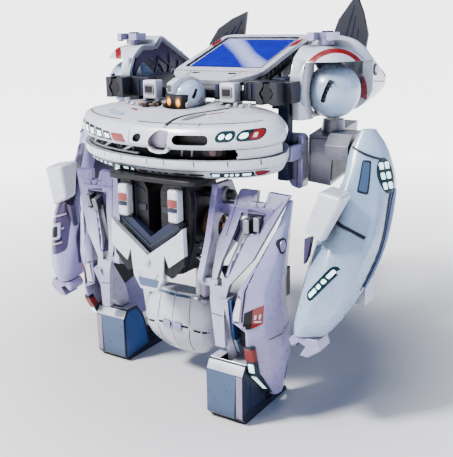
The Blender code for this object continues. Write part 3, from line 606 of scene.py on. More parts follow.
def surface(*objs):
    """A search tree over the shown surfaces of some pieces, in the row frame."""
    graph = bpy.context.evaluated_depsgraph_get()
    points, faces = [], []
    for obj in objs:
        shown = obj.evaluated_get(graph)
        mesh = shown.to_mesh()
        start = len(points)
        points += [tuple(shown.matrix_world @ v.co) for v in mesh.vertices]
        faces += [[start + i for i in p.vertices] for p in mesh.polygons]
        shown.to_mesh_clear()
    return BVHTree.FromPolygons(points, faces)


REACH = 220.0               # how far outside a surface an inlay's rays start


def inlay(name, outlines, view, place, tree, body, paint, lift=0.12, depth=0.5, grid=1.2):
    """Thin plates that follow a surface. Outlines lie across the view axis, such as '-y' for the front."""
    sign = -1.0 if view[0] == "-" else 1.0
    axis = view[-1]
    lead = Vector(along(axis, sign, 0, 0))
    out = (place.to_3x3() @ lead).normalized()
    work = bmesh.new()
    for outline in outlines:
        flat = bmesh.new()
        verts = [flat.verts.new(along(axis, 0, a, b)) for a, b in outline]
        flat.faces.new(verts)
        for number, across in enumerate([c for c in "xyz" if c != axis]):
            values = [p[number] for p in outline]
            cuts = max(1, int((max(values) - min(values)) / grid))
            for i in range(1, cuts):
                level = min(values) + (max(values) - min(values)) * i / cuts
                parts = list(flat.verts) + list(flat.edges) + list(flat.faces)
                bmesh.ops.bisect_plane(flat, geom=parts, plane_co=along_point(across, level),
                                       plane_no=along_point(across, 1.0))
        drop_on(work, flat, lead, out, place, tree, lift, depth)
        flat.free()
    bmesh.ops.recalc_face_normals(work, faces=work.faces)
    mesh = bpy.data.meshes.new(name)
    work.to_mesh(mesh)
    work.free()
    mesh.materials.append(PAINT[paint])
    soften(mesh, 35)
    obj = bpy.data.objects.new(name, mesh)
    bpy.context.scene.collection.objects.link(obj)
    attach(obj, body)
    return obj


def along_point(axis, value):
    return (value if axis == "x" else 0, value if axis == "y" else 0, value if axis == "z" else 0)


def drop_on(work, flat, lead, out, place, tree, lift, depth):
    """Lays a flat grid on the surface and gives it thickness."""
    flat.verts.ensure_lookup_table()
    flat.verts.index_update()
    top, low = [], []
    for vert in flat.verts:
        origin = place @ (vert.co + lead * REACH)
        found = tree.ray_cast(origin, -out)[0]
        if found is None:
            found = tree.find_nearest(origin - out * REACH * MM)[0]
        top.append(work.verts.new(found + out * lift * MM))
        low.append(work.verts.new(found - out * depth * MM))
    for face in flat.faces:
        loop = [v.index for v in face.verts]
        work.faces.new([top[i] for i in loop])
        work.faces.new([low[i] for i in reversed(loop)])
    for edge in flat.edges:
        if len(edge.link_faces) == 1:
            a, b = edge.verts[0].index, edge.verts[1].index
            work.faces.new([top[a], top[b], low[b], low[a]])


# ---------------------------------------------------------------- chest

def saucer_ring(inset, height, steps=96):
    """The chest's outline at one height: a half ellipse in front, corners curving in behind."""
    span, reach = CHEST_HALF - inset, CHEST_REACH - inset
    front = [math.pi * i / steps for i in range(steps + 1)]
    ring = [(span * math.cos(t), -reach * math.sin(t), height) for t in front]
    back = CHEST_BACK - min(inset, 2.0)
    corner = smooth_rows([(0.0, 0.0), (4.0, 0.47), (11.0, 0.76), (19.0, 0.95), (26.0, 1.0)], 5)
    ring += [(-(span - x_in), back * share, height) for x_in, share in corner[1:]]
    ring += [(span - x_in, back * share, height) for x_in, share in corner[:0:-1]]
    return ring


def arc_points(first, last, inset, steps=24):
    """Points (x, y) round the chest's rim between two turns, in degrees."""
    out = []
    for degrees in np.linspace(first, last, steps):
        t = math.radians(degrees)
        out.append(((CHEST_HALF - inset) * math.cos(t), -(CHEST_REACH - inset) * math.sin(t)))
    return out


def make_chest():
    place = chest_place()
    under = [(8.0, 20.4), (5.0, 19.0), (3.2, 15.0), (0.8, 15.0)]
    over = smooth_rows([(0.8, 15.0), (0.0, 16.8), (0.3, 20.0), (2.6, 23.4), (5.2, 24.8), (12.0, 25.9),
                        (18.0, 26.5)], 4)
    rings = [saucer_ring(*level) for level in under[:3]] + [saucer_ring(*level) for level in over]
    upper = piece("chest_upper_moulding", loft(rings), place, "torso", "white", "chest_upper_shell")
    carve(upper, [turned([(18.0, 5.8), (24.0, 5.8)], "z", NECK)], place)
    carve(upper, [turned([(22.0, 12.2), (30.0, 12.2)], "z", NECK)], place, "grey")
    tear = rounded([(0.6, 16.2), (3.0, 14.6), (8.0, 14.4), (11.2, 17.0), (11.4, 23.0), (9.4, 24.6), (4.6, 22.4),
                    (1.2, 19.6)], 1.6)
    carve(upper, [prism(capsule(13.6, 30.6, 17.3, 21.5), "y", -30, -19.6)], place, "black")
    carve(upper, [prism(tear, "y", -30, -22.4)], place, "mauve")
    carve(upper, [prism(capsule(-8.0, -3.2, 17.4, 21.2, 1.6), "y", -30, -23.4)], place, "ink")
    rim = surface(upper)
    chest_top_details(place, rim)
    chest_windows(place, rim)
    low = smooth_rows([(0.0, 10.0), (0.1, 6.4), (0.9, 5.0), (3.2, 1.6), (7.0, 0.0)], 4)
    rings = [saucer_ring(*level) for level in [(9.0, 3.0), (6.0, 6.0), (3.0, 9.4), (2.2, 10.0)]]
    rings += [saucer_ring(*level) for level in low]
    lower = piece("chest_lower_moulding", loft(rings), place, "torso", "white", "chest_lower_shell")
    chest_lights(place, surface(lower))
    recast("chest_core", "torso", "black", 0.4)
    recast("chest_truss", "torso", "white", 0)
    recast("neck_ring", "torso", "charcoal", 0.1)
    chest_ends(place)


def chest_top_details(place, rim):
    """The deck's panel line, the groove beside the neck, ridges, red dashes and small knobs."""
    seam = arc_points(14, 100, 6.4)
    other = arc_points(112, 166, 6.4)
    groove = smooth_rows([(9.0, -22.6), (8.6, -17.0), (10.4, -11.0), (16.5, -4.5), (26.0, 5.0)], 4)
    oval = [(12.6, -14.6), (15.6, -9.0), (21.5, -5.5), (19.4, -10.0), (15.6, -14.2)]
    lines = [stroke(seam, 0.6), stroke(other, 0.6)]
    inlay("deck_seams", lines, "z", place, rim, "torso", "ink", 0.04, grid=1.6)
    inlay("deck_groove", [stroke(groove, 2.0)], "z", place, rim, "torso", "ink", 0.05)
    inlay("deck_ridge", [rounded(oval, 1.2)], "z", place, rim, "torso", "grey", 0.35)
    inlay("deck_pad", [rounded([(-36, -7), (-30, -11.5), (-22, -13.5), (-22, -11.5), (-29, -9), (-34, -5)], 1.0)],
          "z", place, rim, "torso", "pearl", 0.3)
    dashes = [stroke([(22.0, -6.0), (27.5, -1.6)], 1.3), stroke([(-18.0, -6.5), (-23.5, -4.2)], 1.3)]
    inlay("deck_red_dashes", dashes, "z", place, rim, "torso", "red", 0.06)
    frets = [stroke([(16 + 9 * i, -22.4 + 2.6 * i), (15.2 + 9 * i, -17.8 + 2.2 * i)], 0.4) for i in range(2)]
    inlay("deck_frets", frets, "z", place, rim, "torso", "ink", 0.05)
    knobs = []
    for x, y, radius, tall in ((24.5, 6.5, 1.5, 1.2), (28.0, 7.6, 1.1, 1.8), (31.2, 7.4, 1.5, 1.2),
                               (34.8, 8.6, 1.0, 2.0), (-24.0, 1.6, 1.5, 1.4), (-28.0, 2.4, 1.6, 1.1),
                               (-31.6, 3.4, 1.0, 1.8)):
        knobs.append(turned([(25.6, radius), (26.3 + tall * 0.6, radius), (26.5 + tall, radius * 0.7)], "z",
                            (x, y), 20))
    piece("deck_knobs", knobs, place, "torso", "white")
    rods = [stroke([(-11.4, 1.5), (-21.0, -0.4)], 1.1), stroke([(-11.4, 4.4), (-23.0, 2.0)], 1.1)]
    piece("deck_rods", [prism(rod, "z", 26.8, 27.9) for rod in rods], place, "torso", "bronze", bevel=0.35)
    clips = [box((-19.0, -1.6, 26.4), (-16.4, 3.8, 28.4)), box((-14.0, 0.2, 26.4), (-12.2, 5.0, 28.4))]
    piece("deck_rod_clips", clips, place, "torso", "charcoal", bevel=0.3)
    lip = hoop([(26.0, 12.2), (26.0, 13.2), (26.75, 13.0), (26.75, 12.3)], "z", NECK)
    lip = piece("neck_recess_lip", lip, place, "torso", "white")
    carve(lip, [box((-20, 16.4, 20), (20, 30, 30))], place)


def chest_windows(place, rim):
    """Light windows let into the front of the upper saucer, and the small seams between them."""
    frames = [capsule(33.6, 41.6, 18.6, 23.0, 1.2), capsule(42.2, 52.4, 18.6, 23.0, 1.2)]
    inlay("chest_window_frames", frames, "-y", place, rim, "torso", "teal", 0.10)
    cells = [capsule(35.0, 37.4, 19.8, 21.9, 0.5), capsule(38.0, 40.4, 19.8, 21.9, 0.5),
             capsule(43.3, 46.6, 19.8, 21.9, 0.6)]
    inlay("chest_window_painted_glow", cells, "-y", place, rim, "torso", "lamp", 0.22)
    inlay("chest_window_red", [capsule(47.2, 52.0, 19.0, 22.7, 1.0)], "-y", place, rim, "torso", "red", 0.2)
    inlay("chest_window_mark", [slab(48.5, 49.9, 20.0, 21.7, 0.3)], "-y", place, rim, "torso", "white", 0.32)
    left = [slab(-48.6, -45.6, 16.8, 22.0, -1.6), slab(-44.6, -40.6, 16.7, 21.8, -1.8),
            slab(-39.6, -35.0, 16.5, 21.4, -2.0), slab(-34.0, -28.6, 16.4, 21.0, -2.0),
            slab(-27.6, -22.6, 16.4, 20.4, -1.6)]
    inlay("far_window_frames", left, "-y", place, rim, "torso", "teal", 0.10)
    glow_shapes = [slab(-47.7, -46.4, 18.0, 20.6, -0.8), slab(-43.6, -41.6, 17.8, 20.5, -0.8),
             slab(-38.5, -36.1, 17.6, 20.2, -0.9), slab(-32.8, -29.8, 17.5, 19.9, -0.9),
             slab(-26.6, -23.6, 17.5, 19.4, -0.8)]
    inlay("far_window_painted_glow", glow_shapes, "-y", place, rim, "torso", "lamp", 0.22)
    inlay("far_window_red", [rounded(slab(-21.6, -13.4, 16.5, 20.2, -1.8), 0.9)], "-y", place, rim, "torso", "red",
          0.10)
    lip = rounded([(0.2, 15.0), (1.6, 13.4), (6.0, 12.7), (10.4, 13.4), (12.0, 15.0), (11.4, 16.0), (8.4, 14.2),
                   (3.4, 14.2), (0.8, 16.2)], 0.9)
    piece("chest_lip", prism(lip, "y", -25.2, -22.8), place, "torso", "white", bevel=0.5)
    seams = [stroke([(x, 23.6), (x + 0.4, 22.0)], 0.4) for x in (18.0, 26.5)]
    seams += [stroke([(x, 15.2), (x, 17.0)], 0.35) for x in (-36.0, -16.0, 20.0, 27.0, 40.0)]
    seams += [stroke([(x, 15.2), (x + 0.4, 24.2)], 0.3) for x in (-10.6, -49.8)]
    inlay("chest_front_seams", seams, "-y", place, rim, "torso", "ink", 0.05)


def chest_lights(place, rim):
    """The hoop's seams and the row of lights under it."""
    seams = [stroke([(x, 9.9), (x, 5.6)], 0.4) for x in (-50.0, -42.0, -30.0, -17.5, -1.5, 8.0, 23.0, 38.0, 50.5)]
    seams.append(stroke([(-54.0, 5.3), (54.0, 5.3)], 0.35))
    inlay("hoop_seams", seams, "-y", place, rim, "torso", "ink", 0.06, grid=2.0)
    runs = [(-47.0, -10.5), (29.0, 47.0)]
    inlay("low_light_strips", [slab(a, b, 1.9, 4.5, 0.0) for a, b in runs], "-y", place, rim, "torso", "teal", 0.10)
    glow_shapes = []
    for x, wide in ((-44.5, 2.2), (-40.5, 2.0), (-36.5, 2.0), (-32.5, 2.0), (-28.5, 2.4), (-23.0, 3.0),
                    (-17.0, 3.2), (-12.6, 1.6), (31.4, 3.2), (36.0, 1.4), (38.2, 1.4), (40.4, 1.4), (44.2, 3.2)):
        glow_shapes.append(rounded(slab(x - wide / 2, x + wide / 2, 2.6, 3.8, 0.5), 0.3))
    inlay("low_painted_glow", glow_shapes, "-y", place, rim, "torso", "lamp", 0.24)
    dashes = [slab(-8.5, -3.5, 2.7, 3.6), slab(-1.0, 0.6, 2.7, 3.6), slab(2.6, 4.2, 2.7, 3.6),
              slab(6.4, 8.0, 2.7, 3.6), slab(10.5, 17.0, 2.7, 3.6), slab(19.0, 26.0, 2.7, 3.6)]
    inlay("low_dashes", dashes, "-y", place, rim, "torso", "black", 0.08)
    tail = [(47.4, 1.8), (50.2, 2.0), (52.8, 3.4), (50.4, 4.6), (47.4, 4.6)]
    inlay("low_red_light", [rounded(tail, 0.8)], "-y", place, rim, "torso", "dark_red", 0.12)


def chest_ends(place):
    """Blocks that close the gap between the saucers, with the round port and the zigzag bars' light painted as thin
    mauve strips.
    """
    for side, word in SIDES:
        recast(word + "_chest_end", "torso", "white", 0.3)
    core = surface(bpy.data.objects["chest_core_moulding"])
    port = [capsule(24.5, 33.6, 10.8, 14.4)]
    inlay("gap_port", port, "-y", place, core, "torso", "black", 1.2, 0.8)
    inlay("gap_port_rim", [circle(1.5, (29.5, 12.6), 20)], "-y", place, core, "torso", "dark_red", 1.7, 0.4)
    # painted highlight: thin mauve strips on the dark core stand for light on the zigzag bars
    ribs = [slab(x, x + 0.7, 10.4, 14.7, 0.8) for x in (-22.0, -14.0, 14.0, 19.0)]
    inlay("gap_bar_painted_light", ribs, "-y", place, core, "torso", "mauve", 0.8, 0.4)


# ---------------------------------------------------------------- head

def make_head():
    place = head_place()
    rings = []
    for height, grow, back in smooth_rows([(1.9, 0.94, 7.8), (3.0, 1.0, 8.4), (7.5, 0.99, 8.2), (10.8, 0.88, 7.2),
                                           (13.2, 0.66, 5.6), (14.6, 0.40, 3.4), (15.2, 0.14, 1.2)], 4):
        ring = []
        for i in range(64):
            t = 2 * math.pi * i / 64
            reach = back if math.sin(t) > 0 else 9.4 * grow
            ring.append((9.0 * grow * math.cos(t), reach * math.sin(t), height))
        rings.append(ring)
    dome = piece("helmet_dome", loft(rings), place, "head", "pearl", "helmet")
    carve(dome, [box((-7.6, -12, -0.2), (7.6, -4.6, 8.4))], place, "black")
    slits = [prism(rounded([(-3.6, 7.0), (-1.0, 11.2), (0.2, 10.8), (-2.2, 6.4)], 0.4), "x", 7.6, 12.0),
             prism(rounded([(-3.6, 7.0), (-1.0, 11.2), (0.2, 10.8), (-2.2, 6.4)], 0.4), "x", -12.0, -7.6)]
    carve(dome, slits, place, "ink")
    crest = rounded([(-10.4, 8.6), (-10.4, 13.2), (-6.0, 15.8), (0.0, 16.6), (5.0, 15.0), (8.0, 9.0), (8.2, 3.2),
                     (4.0, 3.2), (4.0, 9.0)], 1.4)
    top = piece("helmet_crest", prism(crest, "x", -2.6, 2.6), place, "head", "white")
    carve(top, [box((-1.75, -12, 9.4), (1.75, -9.7, 12.6))], place, "black")
    add_bevel(top, 0.45)
    piece("forehead_lens", prism(rounded([(-1.5, 9.7), (1.5, 9.7), (1.5, 12.3), (-1.5, 12.3)], 0.4), "y", -10.1, -9.5),
          place, "head", "teal", bevel=0.15)
    piece("helmet_collar", turned([(-5.6, 4.2), (1.0, 4.2), (1.9, 6.4), (2.4, 7.0)], "z", (0, 0)), place, "head",
          "grey")
    recast("visor", "head", "black", 0.35)
    sockets, lenses = [], []
    for x in (-4.1, 4.1):
        sockets.append(hoop([(-8.5, 1.9), (-8.5, 2.6), (-8.0, 2.8), (-8.0, 1.9)], "y", (x, 4.6), 32))
        lenses.append(turned([(-8.9, 0.5), (-8.75, 1.2), (-8.4, 1.7), (-7.1, 1.9)], "y", (x, 4.6), 32))
    piece("eye_rims", sockets, place, "head", "bronze")
    piece("eye_painted_glow", lenses, place, "head", "amber", "eye_lens")
    cheeks = [prism(rounded([(-6.6, 2.4), (-6.6, 4.6), (-4.4, 5.8), (-1.6, 4.2), (-2.4, 2.4)], 0.7), "x", s * 7.4, s * 8.6)
              for s in (-1, 1)]
    piece("helmet_cheeks", cheeks, place, "head", "white", bevel=0.3)
    pins = [turned([(s * 8.6, 1.5), (s * 9.5, 1.2)], "x", (1.2, 5.6), 20) for s in (-1, 1)]
    piece("helmet_pins", pins, place, "head", "grey")


# ---------------------------------------------------------------- connectors behind the head

def make_connectors():
    recast("connector_bar", "torso", "charcoal", 0.4)
    place = body_place()
    bars = [box((12.4 + 3.2 * i, 23.9, 139.4), (14.2 + 3.2 * i, 24.8, 145.6)) for i in range(1)]
    bars += [box((28.2 + 2.6 * i, 23.9, 139.2), (29.6 + 2.6 * i, 24.8, 146.6)) for i in range(3)]
    bars += [box((-29.6 - 2.6 * i, 23.9, 139.2), (-28.2 - 2.6 * i, 24.8, 146.6)) for i in range(3)]
    piece("connector_ribs", bars, place, "torso", "navy", bevel=0.25)
    for side, word in SIDES:
        place = body_place(side)
        recast(word + "_window_box", "torso", "white", 0.5, 3)
        frame_edge = [(19.6, 140.2), (25.4, 140.2), (25.4, 144.8), (19.6, 144.8)]
        piece(word + "_window_glass", prism(rounded(frame_edge, 0.5), "y", 17.7, 18.4), place, "torso", "grey",
              bevel=0.2)
        piece(word + "_window_pane", prism(rounded([(20.4, 141), (24.6, 141), (24.6, 144), (20.4, 144)], 0.4), "y",
                                           17.45, 18.0), place, "torso", "black", bevel=0.12)
        feet = [box((18.0, 19.0, 136.9), (20.0, 23.6, 138.4)), box((25.0, 19.0, 136.9), (27.0, 23.6, 138.4))]
        piece(word + "_window_feet", feet, place, "torso", "white", bevel=0.3)
        recast(word + "_hex_connector", "torso", "charcoal", 0.6, 3)
        heart = [(41.4, 138.6), (46.2, 138.6), (45.5, 141.0), (47.0, 142.8), (45.5, 144.8), (46.2, 147.0),
                 (41.4, 147.0), (42.1, 144.8), (40.6, 142.8), (42.1, 141.0)]
        piece(word + "_hex_heart", prism(rounded(heart, 0.5), "y", 17.5, 22.0), place, "torso", "black", bevel=0.2)


# ---------------------------------------------------------------- solar module

def make_module():
    place = module_place()
    recast("module_case", "solar_module", "charcoal", 0.7, 3)
    edge = [(-26.4, 50.0), (-26.4, 1.0), (-24.5, -4.0), (-19.0, -9.5), (-12.0, -12.5), (12.0, -12.5),
            (19.0, -9.5), (24.5, -4.0), (26.4, 1.0), (26.4, 50.0), (23.0, 52.4), (-23.0, 52.4)]
    bezel = piece("module_bezel_moulding", prism(rounded(edge, 2.4, 5), "z", 7.7, 9.9), place, "solar_module",
                  "white", "module_bezel")
    window = rounded([(-22.3, 4.7), (22.3, 4.7), (22.3, 47.3), (-22.3, 47.3)], 1.2)
    slots = [prism(rounded([(s * 9, -4.4), (s * 13.4, -4.4), (s * 12.6, -2.8), (s * 8.2, -2.8)], 0.4), "z", 8.6, 12)
             for s in (-1, 1)]
    carve(bezel, [prism(window, "z", 6, 12)], place, "white")
    carve(bezel, slots, place, "black")
    add_bevel(bezel, 0.5)
    chin = rounded([(-14.0, 8.4), (14.0, 8.4), (9.0, 3.6), (-9.0, 3.6)], 1.0)
    piece("module_chin", prism(chin, "y", -12.3, -10.6), place, "solar_module", "white", bevel=0.4)
    glass = rounded([(-22, 5), (22, 5), (22, 47), (-22, 47)], 0.8)
    piece("solar_cell_glass", prism(glass, "z", 7.7, 9.2), place, "solar_module", "solar", "solar_cell", bevel=0.25)
    inner = rounded([(-21.6, 5.4), (21.6, 5.4), (21.6, 46.6), (-21.6, 46.6)], 0.6)
    border = piece("cell_white_line", prism(inner, "z", 8.9, 9.32), place, "solar_module", "white")
    cut = rounded([(-20.9, 6.1), (20.9, 6.1), (20.9, 45.9), (-20.9, 45.9)], 0.5)
    carve(border, [prism(cut, "z", 7, 12)], place)
    outer = rounded([(-22.9, 4.1), (22.9, 4.1), (22.9, 47.9), (-22.9, 47.9)], 1.4)
    trim = piece("cell_dark_line", prism(outer, "z", 9.5, 10.0), place, "solar_module", "navy")
    carve(trim, [prism(window, "z", 6, 12)], place)
    marks = [prism(rounded([(s * 23.4, 33.0), (s * 26.0, 36.0), (s * 26.0, 45.5), (s * 23.4, 42.5)], 0.4), "z", 9.7, 10.02)
             for s in (-1, 1)]
    piece("module_red_marks", marks, place, "solar_module", "red")
    seams = [prism(stroke([(-25.6, -1.2), (25.6, -1.2)], 0.35), "z", 9.7, 9.98)]
    seams += [prism(stroke([(s * 15.0, -1.2), (s * 13.0, -11.6)], 0.3), "z", 9.7, 9.98) for s in (-1, 1)]
    piece("module_seams", seams, place, "solar_module", "ink")
    for side, word in SIDES:
        module_side(module_place(side), word)
    vents = [box((-18 + 6 * i, 52.6, 1.0), (-15 + 6 * i, 54.4, 6.0)) for i in range(7)]
    piece("module_back_vents", vents, place, "solar_module", "navy", bevel=0.3)
    belly = [box((-20, 12, -2.5), (20, 13.2, -1.2)), box((-20, 24, -3.0), (20, 25.2, -1.4)),
             box((-20, 36, -3.4), (20, 37.2, -1.6))]
    piece("module_belly_ribs", belly, place, "solar_module", "grey", bevel=0.3)
    screws = [turned([(-3.4, 1.6), (-1.0, 1.6)], "z", (x, y), 20) for x in (-22.5, 22.5) for y in (18, 42)]
    piece("module_screws", screws, place, "solar_module", "steel", bevel=0.25)


def module_side(place, word):
    """The rail, ribs and stub on one flank of the module's case."""
    rail = [(14.0, 1.2), (30.0, 1.8), (31.4, 3.0), (30.0, 4.6), (14.0, 4.2), (13.0, 2.7)]
    piece(word + "_module_rail", prism(rounded(rail, 0.8), "x", 26.3, 28.1), place, "solar_module", "silver", bevel=0.5)
    stub = [(38.0, 1.4), (46.0, 1.8), (46.0, 4.6), (38.0, 4.4)]
    piece(word + "_module_stub", prism(rounded(stub, 1.0), "x", 26.3, 27.6), place, "solar_module", "grey", bevel=0.4)
    ribs = [prism([(y, 5.2), (y + 1.0, 5.2), (y + 2.0, 7.2), (y + 1.0, 7.2)], "x", 26.2, 26.9) for y in range(2, 50, 4)]
    piece(word + "_module_ribs", ribs, place, "solar_module", "navy", bevel=0.15)
    rung = [(4.0, 0.2), (12.0, -0.6), (12.0, 4.2), (6.0, 4.8)]
    piece(word + "_module_cheek", prism(rounded(rung, 1.0), "x", 26.3, 27.4), place, "solar_module", "charcoal",
          bevel=0.4)


def make_spine():
    recast("spine_housing", "torso", "navy", 0.6)
    place = body_place()
    recast("power_switch", "switch_knob", "red", 0.3)
    plate = rounded([(-5.2, 113.0), (5.2, 113.0), (5.2, 129.5), (-5.2, 129.5)], 1.2)
    escutcheon = piece("switch_plate", prism(plate, "y", 51.8, 52.9), place, "torso", "grey")
    carve(escutcheon, [prism([(-2.4, 115.6), (2.4, 115.6), (2.4, 127.4), (-2.4, 127.4)], "y", 50, 56)], place)
    add_bevel(escutcheon, 0.3)
    ribs = [prism(rounded([(s * 8.0, z), (s * 16.0, z), (s * 16.0, z + 1.6), (s * 8.0, z + 1.6)], 0.4), "y", 51.7, 52.8)
            for s in (-1, 1) for z in range(107, 131, 4)]
    piece("spine_vent_ribs", ribs, place, "torso", "charcoal", bevel=0.2)
    screws = [turned([(51.6, 1.7), (52.7, 1.7), (53.0, 1.2)], "y", (x, z), 20) for x in (-12, 12) for z in (131.6,)]
    piece("spine_screws", screws, place, "torso", "steel")


# ---------------------------------------------------------------- shoulders and arms

POD_OUTLINE = [(33, 139), (33, 149), (36.4, 157), (44, 162.6), (55.4, 162.6), (61, 167.6), (80, 157.4), (101, 146),
               (101, 138.5), (80, 133), (60, 130), (41, 130)]


def pod_ring(x, scale, cy, cz, radius):
    ring = rounded(POD_OUTLINE, radius, 4)
    return [(x, cy + (y - cy) * scale, cz + (z - cz) * scale) for y, z in ring]


def make_pod(side, word):
    place = body_place(side)
    outer = smooth_rows([(47.0, 1.0, 60, 148), (53.0, 1.0, 60, 148), (59.0, 0.995, 60, 148), (66.5, 0.88, 64, 148),
                         (71.0, 0.66, 67, 148), (73.6, 0.38, 68, 148)], 4)
    inner = [(68.6, 0.55, 68, 148), (64.6, 0.80, 65, 148), (58.6, 0.93, 60, 148), (47.0, 0.93, 60, 148)]
    rings = [pod_ring(*level, 3.0) for level in inner] + [pod_ring(*level, 3.0) for level in outer]
    shell = piece(word + "_pod_moulding", loft(rings), place, "torso", "pod", word + "_pod_shell")
    carve(shell, [ball(SHOULDER, 13.3, 48, 24)], place)
    bite = [(53.2, 20), (82, 20), (82, 67.0), (68, 65.5), (57.6, 61.5), (53.2, 50.0)]
    carve(shell, [prism(rounded(bite, 2.0), "z", 126.0, 155.6)], place)
    collar = [(47.6, 33.8), (51.6, 33.6), (53.4, 36.4), (54.0, 40.0), (53.8, 45.0), (49.5, 46.0), (49.5, 36.8),
              (47.6, 36.8)]
    front = piece(word + "_pod_collar", prism(rounded(collar, 1.2), "z", 129.6, 156.2), place, "torso", "white")
    carve(front, [ball(SHOULDER, 13.3, 48, 24)], place)
    add_bevel(front, 0.5)
    skin = surface(shell)
    inlay(word + "_pod_roundel", [circle(2.8, (69.0, 151.0), 28)], "x", place, skin, "torso", "ink", 0.35, grid=0.8)
    inlay(word + "_pod_roundel_middle", [circle(1.9, (69.0, 151.0), 28)], "x", place, skin, "torso", "lilac", 0.6, grid=0.8)
    seams = [stroke([(52.0, 163.0), (62.0, 151.0)], 0.4), stroke([(80.0, 160.0), (84.0, 134.0)], 0.4),
             stroke([(62.0, 146.0), (99.0, 143.0)], 0.4), stroke([(92.0, 152.0), (94.0, 134.0)], 0.4)]
    inlay(word + "_pod_seams", seams, "x", place, skin, "torso", "ink", 0.06)
    patch = [rounded([(84, 146.5), (91, 145.0), (91, 149.5), (85, 152.2)], 1.0)]
    inlay(word + "_pod_blue_patch", patch, "x", place, skin, "torso", "blue", 0.3)
    tail = [rounded([(50.5, 139.5), (61.0, 140.5), (61.0, 144.5), (50.5, 145.5)], 1.2)]
    inlay(word + "_pod_tail_lamp", tail, "y", place, skin, "torso", "dark_red", 0.3)
    recast(word + "_pod_panel", "torso", "purple", 0.25)
    pod_inside(place, word)
    recast(word + "_pod_claw", "torso", "lilac", 0.35)
    tips = [box((51.0, 42.9, 164.4), (53.6, 45.0, 165.1)), box((60.2, 43.2, 164.4), (62.6, 45.2, 165.1))]
    piece(word + "_claw_tips", tips, place, "torso", "grey", bevel=0.2)
    piece(word + "_claw_boss", turned([(168.3, 3.0), (169.0, 2.4)], "z", (57, 50.6), 32), place, "torso", "navy")
    recast(word + "_wing_fin", word + "_fin", "charcoal", 0.5)
    lean = fin_place(side)
    ribs = [prism(stroke(line, 0.8), "y", 102.1, 103.0)
            for line in ([(38.0, 150.5), (40.0, 181.0)], [(42.5, 150.0), (42.0, 176.0)], [(46.5, 150.5), (45.0, 170.0)])]
    ribs += [prism(stroke(line, 0.8), "y", 104.2, 105.1)
             for line in ([(38.0, 150.5), (40.0, 181.0)], [(42.5, 150.0), (42.0, 176.0)], [(46.5, 150.5), (45.0, 170.0)])]
    piece(word + "_fin_ribs", ribs, lean, word + "_fin", "navy", bevel=0.2)


def pod_inside(place, word):
    """Ribs, sockets and struts on the dark wall inside a pod, which faces the head."""
    struts = [stroke([(50.0, 138.0), (58.0, 156.0)], 1.0), stroke([(58.0, 156.0), (84.0, 142.0)], 1.0),
              stroke([(64.0, 137.0), (68.0, 154.0)], 0.9), stroke([(72.0, 138.0), (76.0, 152.0)], 0.9)]
    piece(word + "_pod_struts", [prism(s, "x", 46.5, 47.6) for s in struts], place, "torso", "navy", bevel=0.25)
    rims = [hoop([(46.3, 2.2), (46.3, 3.2), (47.5, 3.2), (47.5, 2.2)], "x", (80.0, 145.0), 32),
            hoop([(46.3, 1.2), (46.3, 2.0), (47.5, 2.0), (47.5, 1.2)], "x", (70.0, 147.0), 28)]
    piece(word + "_pod_socket", rims, place, "torso", "grey")
    edge = rounded([(37.0, 157.0), (44.6, 161.6), (55.8, 161.6), (61, 165.8), (79.5, 156.0), (98.0, 147.0),
                    (98.0, 145.4), (79.5, 154.2), (61, 163.8), (56.2, 159.9), (45.0, 159.9), (38.2, 155.8)], 0.6)
    piece(word + "_pod_edge_trim", prism(edge, "x", 46.3, 47.3), place, "torso", "grey", bevel=0.25)


def make_arm(side, word):
    place = body_place(side)
    cx, cy, cz = SHOULDER
    arm = word + "_arm"
    sphere = piece(word + "_ball_moulding", ball(SHOULDER, 12.6), place, arm, "pearl", word + "_shoulder_ball")
    slot = rounded([(59.6, 138.0), (61.6, 137.4), (65.2, 147.4), (63.2, 148.0)], 0.6)
    carve(sphere, [prism(slot, "y", 30.0, 40.4)], place, "navy")
    teeth = [prism(stroke([(60.9 + 0.72 * i, 139.3 + 2.0 * i), (62.6 + 0.72 * i, 138.9 + 2.0 * i)], 0.6), "y", 38.9, 40.6)
             for i in range(5)]
    piece(word + "_ball_slot_teeth", teeth, place, arm, "charcoal")
    recast(word + "_upper_arm", arm, "silver", 0.7, 3)
    face = surface(bpy.data.objects[word + "_upper_arm_moulding"])
    lines = [stroke([(53.6, 101.6), (53.8, 120.8)], 0.35), stroke([(53.8, 120.8), (64.2, 120.8)], 0.35)]
    inlay(word + "_block_lines", lines, "-y", place, face, arm, "ink", 0.05)
    # painted shade: a navy plate darkens the block's outer side, which faces away from the light
    outer_shade_plate = rounded([(42.0, 101.0), (64.0, 104.4), (64.0, 119.0), (42.0, 119.0)], 1.2)
    inlay(word + "_block_side_painted_shade", [outer_shade_plate], "x", place, face, arm, "navy", 0.35)
    screws = [turned([(75.3, 2.0), (76.0, 2.0), (76.3, 1.4)], "x", (cy, z), 24) for cy, z in ((51.5, 118.0),)]
    piece(word + "_cheek_screw", screws, place, arm, "steel")
    recast(word + "_shoulder_strap", "torso", "lilac", 0.8, 3)
    strap = surface(bpy.data.objects[word + "_shoulder_strap_moulding"])
    marks = [rounded(slab(45.4, 47.4, 109.0, 113.5, 0.8), 0.4), rounded(slab(44.8, 46.6, 103.0, 105.4, 0.6), 0.4)]
    inlay(word + "_strap_marks", marks, "-y", place, strap, "torso", "mauve", 0.08)
    inlay(word + "_strap_seam", [stroke([(48.8, 97.8), (48.8, 121.4)], 0.4)], "-y", place, strap, "torso", "ink", 0.05)
    recast(word + "_shoulder_column", "torso", "navy", 0.5)
    column = surface(bpy.data.objects[word + "_shoulder_column_moulding"])
    grooves = [slab(42.0, 45.6, z, z + 0.5) for z in (106, 112, 118, 124, 130)]
    inlay(word + "_column_grooves", grooves, "-y", place, column, "torso", "black", 0.08)


